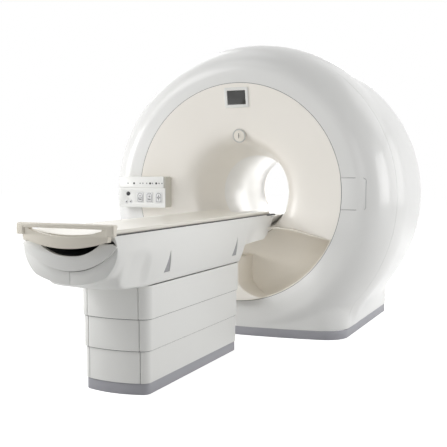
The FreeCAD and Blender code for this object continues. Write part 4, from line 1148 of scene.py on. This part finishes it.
deselect()
FLOOR_SIZE, FLOOR_PLAY = 60, 0.0005
bpy.ops.mesh.primitive_plane_add(size=FLOOR_SIZE, location=(0, 0, -FLOOR_PLAY))
floor = bpy.context.active_object
floor.name = "studio_floor"
floor.data.materials.append(studio_white("studio_floor_white", "#dcdcdc", 0.76))

world = bpy.data.worlds.new("studio")
bpy.context.scene.world = world
world.use_nodes = True
sky = world.node_tree
sky.nodes.clear()
# white where it is seen, dimmer where it lights the object
SEEN_STRENGTH, LIGHT_STRENGTH = 1.0, 0.35
white = linear("#ffffff")
path = add(sky, "ShaderNodeLightPath")
seen = greater(sky, path.outputs["Is Camera Ray"], path.outputs["Is Glossy Ray"])
seen = greater(sky, seen, path.outputs["Is Transmission Ray"])
ambient = add(sky, "ShaderNodeBackground", None, {"Color": white, "Strength": LIGHT_STRENGTH})
plain = add(sky, "ShaderNodeBackground", None, {"Color": white, "Strength": SEEN_STRENGTH})
mixed = add(
    sky, "ShaderNodeMixShader", None, {0: seen, 1: ambient.outputs[0], 2: plain.outputs[0]}
)
add(sky, "ShaderNodeOutputWorld", None, {"Surface": mixed.outputs[0]})


def softbox(name, place, target, size, power):
    """A lamp of even light that looks at a target and isn't seen by the camera."""
    lamp = bpy.data.lights.new(name, "AREA")
    lamp.shape = "RECTANGLE"
    lamp.size, lamp.size_y = size
    lamp.energy = power
    holder = bpy.data.objects.new(name, lamp)
    holder.visible_camera = False
    bpy.context.collection.objects.link(holder)
    holder.location = place
    holder.rotation_euler = (Vector(target) - Vector(place)).to_track_quat("-Z", "Y").to_euler()
    return holder


# far walls of light, placed by their turn from the foot end and their rise above the floor
MIDDLE = Vector((0, -1.0, 1.1))
WALL_DISTANCE, WALL_SIZE = 7.0, 3.0
for name, turn, rise, power in (
    ("right_wall", 105, 8, 128),
    ("right_low_back", 135, 8, 31),
    ("right_back", 135, 35, 30),
    ("back_high", 165, 35, 12),
    ("front_low", -15, 8, 6),
    ("front_fill", -15, 35, 10),
    ("left_front", -45, 35, 100),
    ("left_high", -45, 65, 30),
    ("left_back", -135, 35, 39),
    ("left_back_high", -135, 65, 18),
    ("rear_glow", -165, 8, 130),
):
    turn, rise = math.radians(turn), math.radians(rise)
    way = (math.sin(turn) * math.cos(rise), -math.cos(turn) * math.cos(rise), math.sin(rise))
    place = MIDDLE + Vector(way) * WALL_DISTANCE
    softbox(name, place, MIDDLE, (WALL_SIZE, WALL_SIZE), power)
# small ones near the object: docking bay, both sides, foot end, dished cover and tunnel
softbox("bay_left", (-0.42, -1.20, 0.56), (-0.35, -0.63, 0.60), (0.3, 0.3), 0.5)
softbox("bay_right", (0.42, -1.20, 0.56), (0.35, -0.63, 0.60), (0.3, 0.3), 0.55)
softbox("right_near", (1.6, -2.4, 0.45), (0.1, -0.9, 0.6), (1.0, 1.0), 1.2)
softbox("left_near", (-3.2, -2.4, 1.7), (-0.9, -0.9, 1.4), (1.2, 1.2), 40)
foot_fill = softbox("foot_fill", (-0.7, -3.2, 0.9), (0, -2.2, 0.72), (0.6, 0.6), 2.6)
foot_fill.visible_glossy = False
softbox("dish_fill", (1.9, -2.6, 1.7), (-0.5, -0.9, 1.1), (1.2, 1.2), 6)
tunnel_place, tunnel_target = (0, BACK_Y - 0.25, BORE_Z + 0.08), (0, FACE_Y, BORE_Z - 0.05)
softbox("bore_back", tunnel_place, tunnel_target, (0.3, 0.2), 0.9)

scene = bpy.context.scene
scene.view_settings.view_transform = "Standard"

# the photo's camera, solved from the outlines of the ring, the tunnel and the table
VIEW_PLACE = Vector((2.4363, -6.6096, 1.2943))
VIEW_YAW = math.radians(23.906)
VIEW_DROP = math.radians(3.768)
FRAME_PIXELS = 447
FOCAL_PIXELS = 791.16
SENSOR_WIDTH = 36

eye = bpy.data.cameras.new("photo_camera")
eye.sensor_width = SENSOR_WIDTH
eye.lens = FOCAL_PIXELS / FRAME_PIXELS * SENSOR_WIDTH
eye.clip_end = 200
camera = bpy.data.objects.new("photo_camera", eye)
bpy.context.collection.objects.link(camera)
camera.location = VIEW_PLACE
aim = Vector(
    (
        -math.sin(VIEW_YAW) * math.cos(VIEW_DROP),
        math.cos(VIEW_YAW) * math.cos(VIEW_DROP),
        -math.sin(VIEW_DROP),
    )
)
camera.rotation_euler = aim.to_track_quat("-Z", "Y").to_euler()
scene.camera = camera
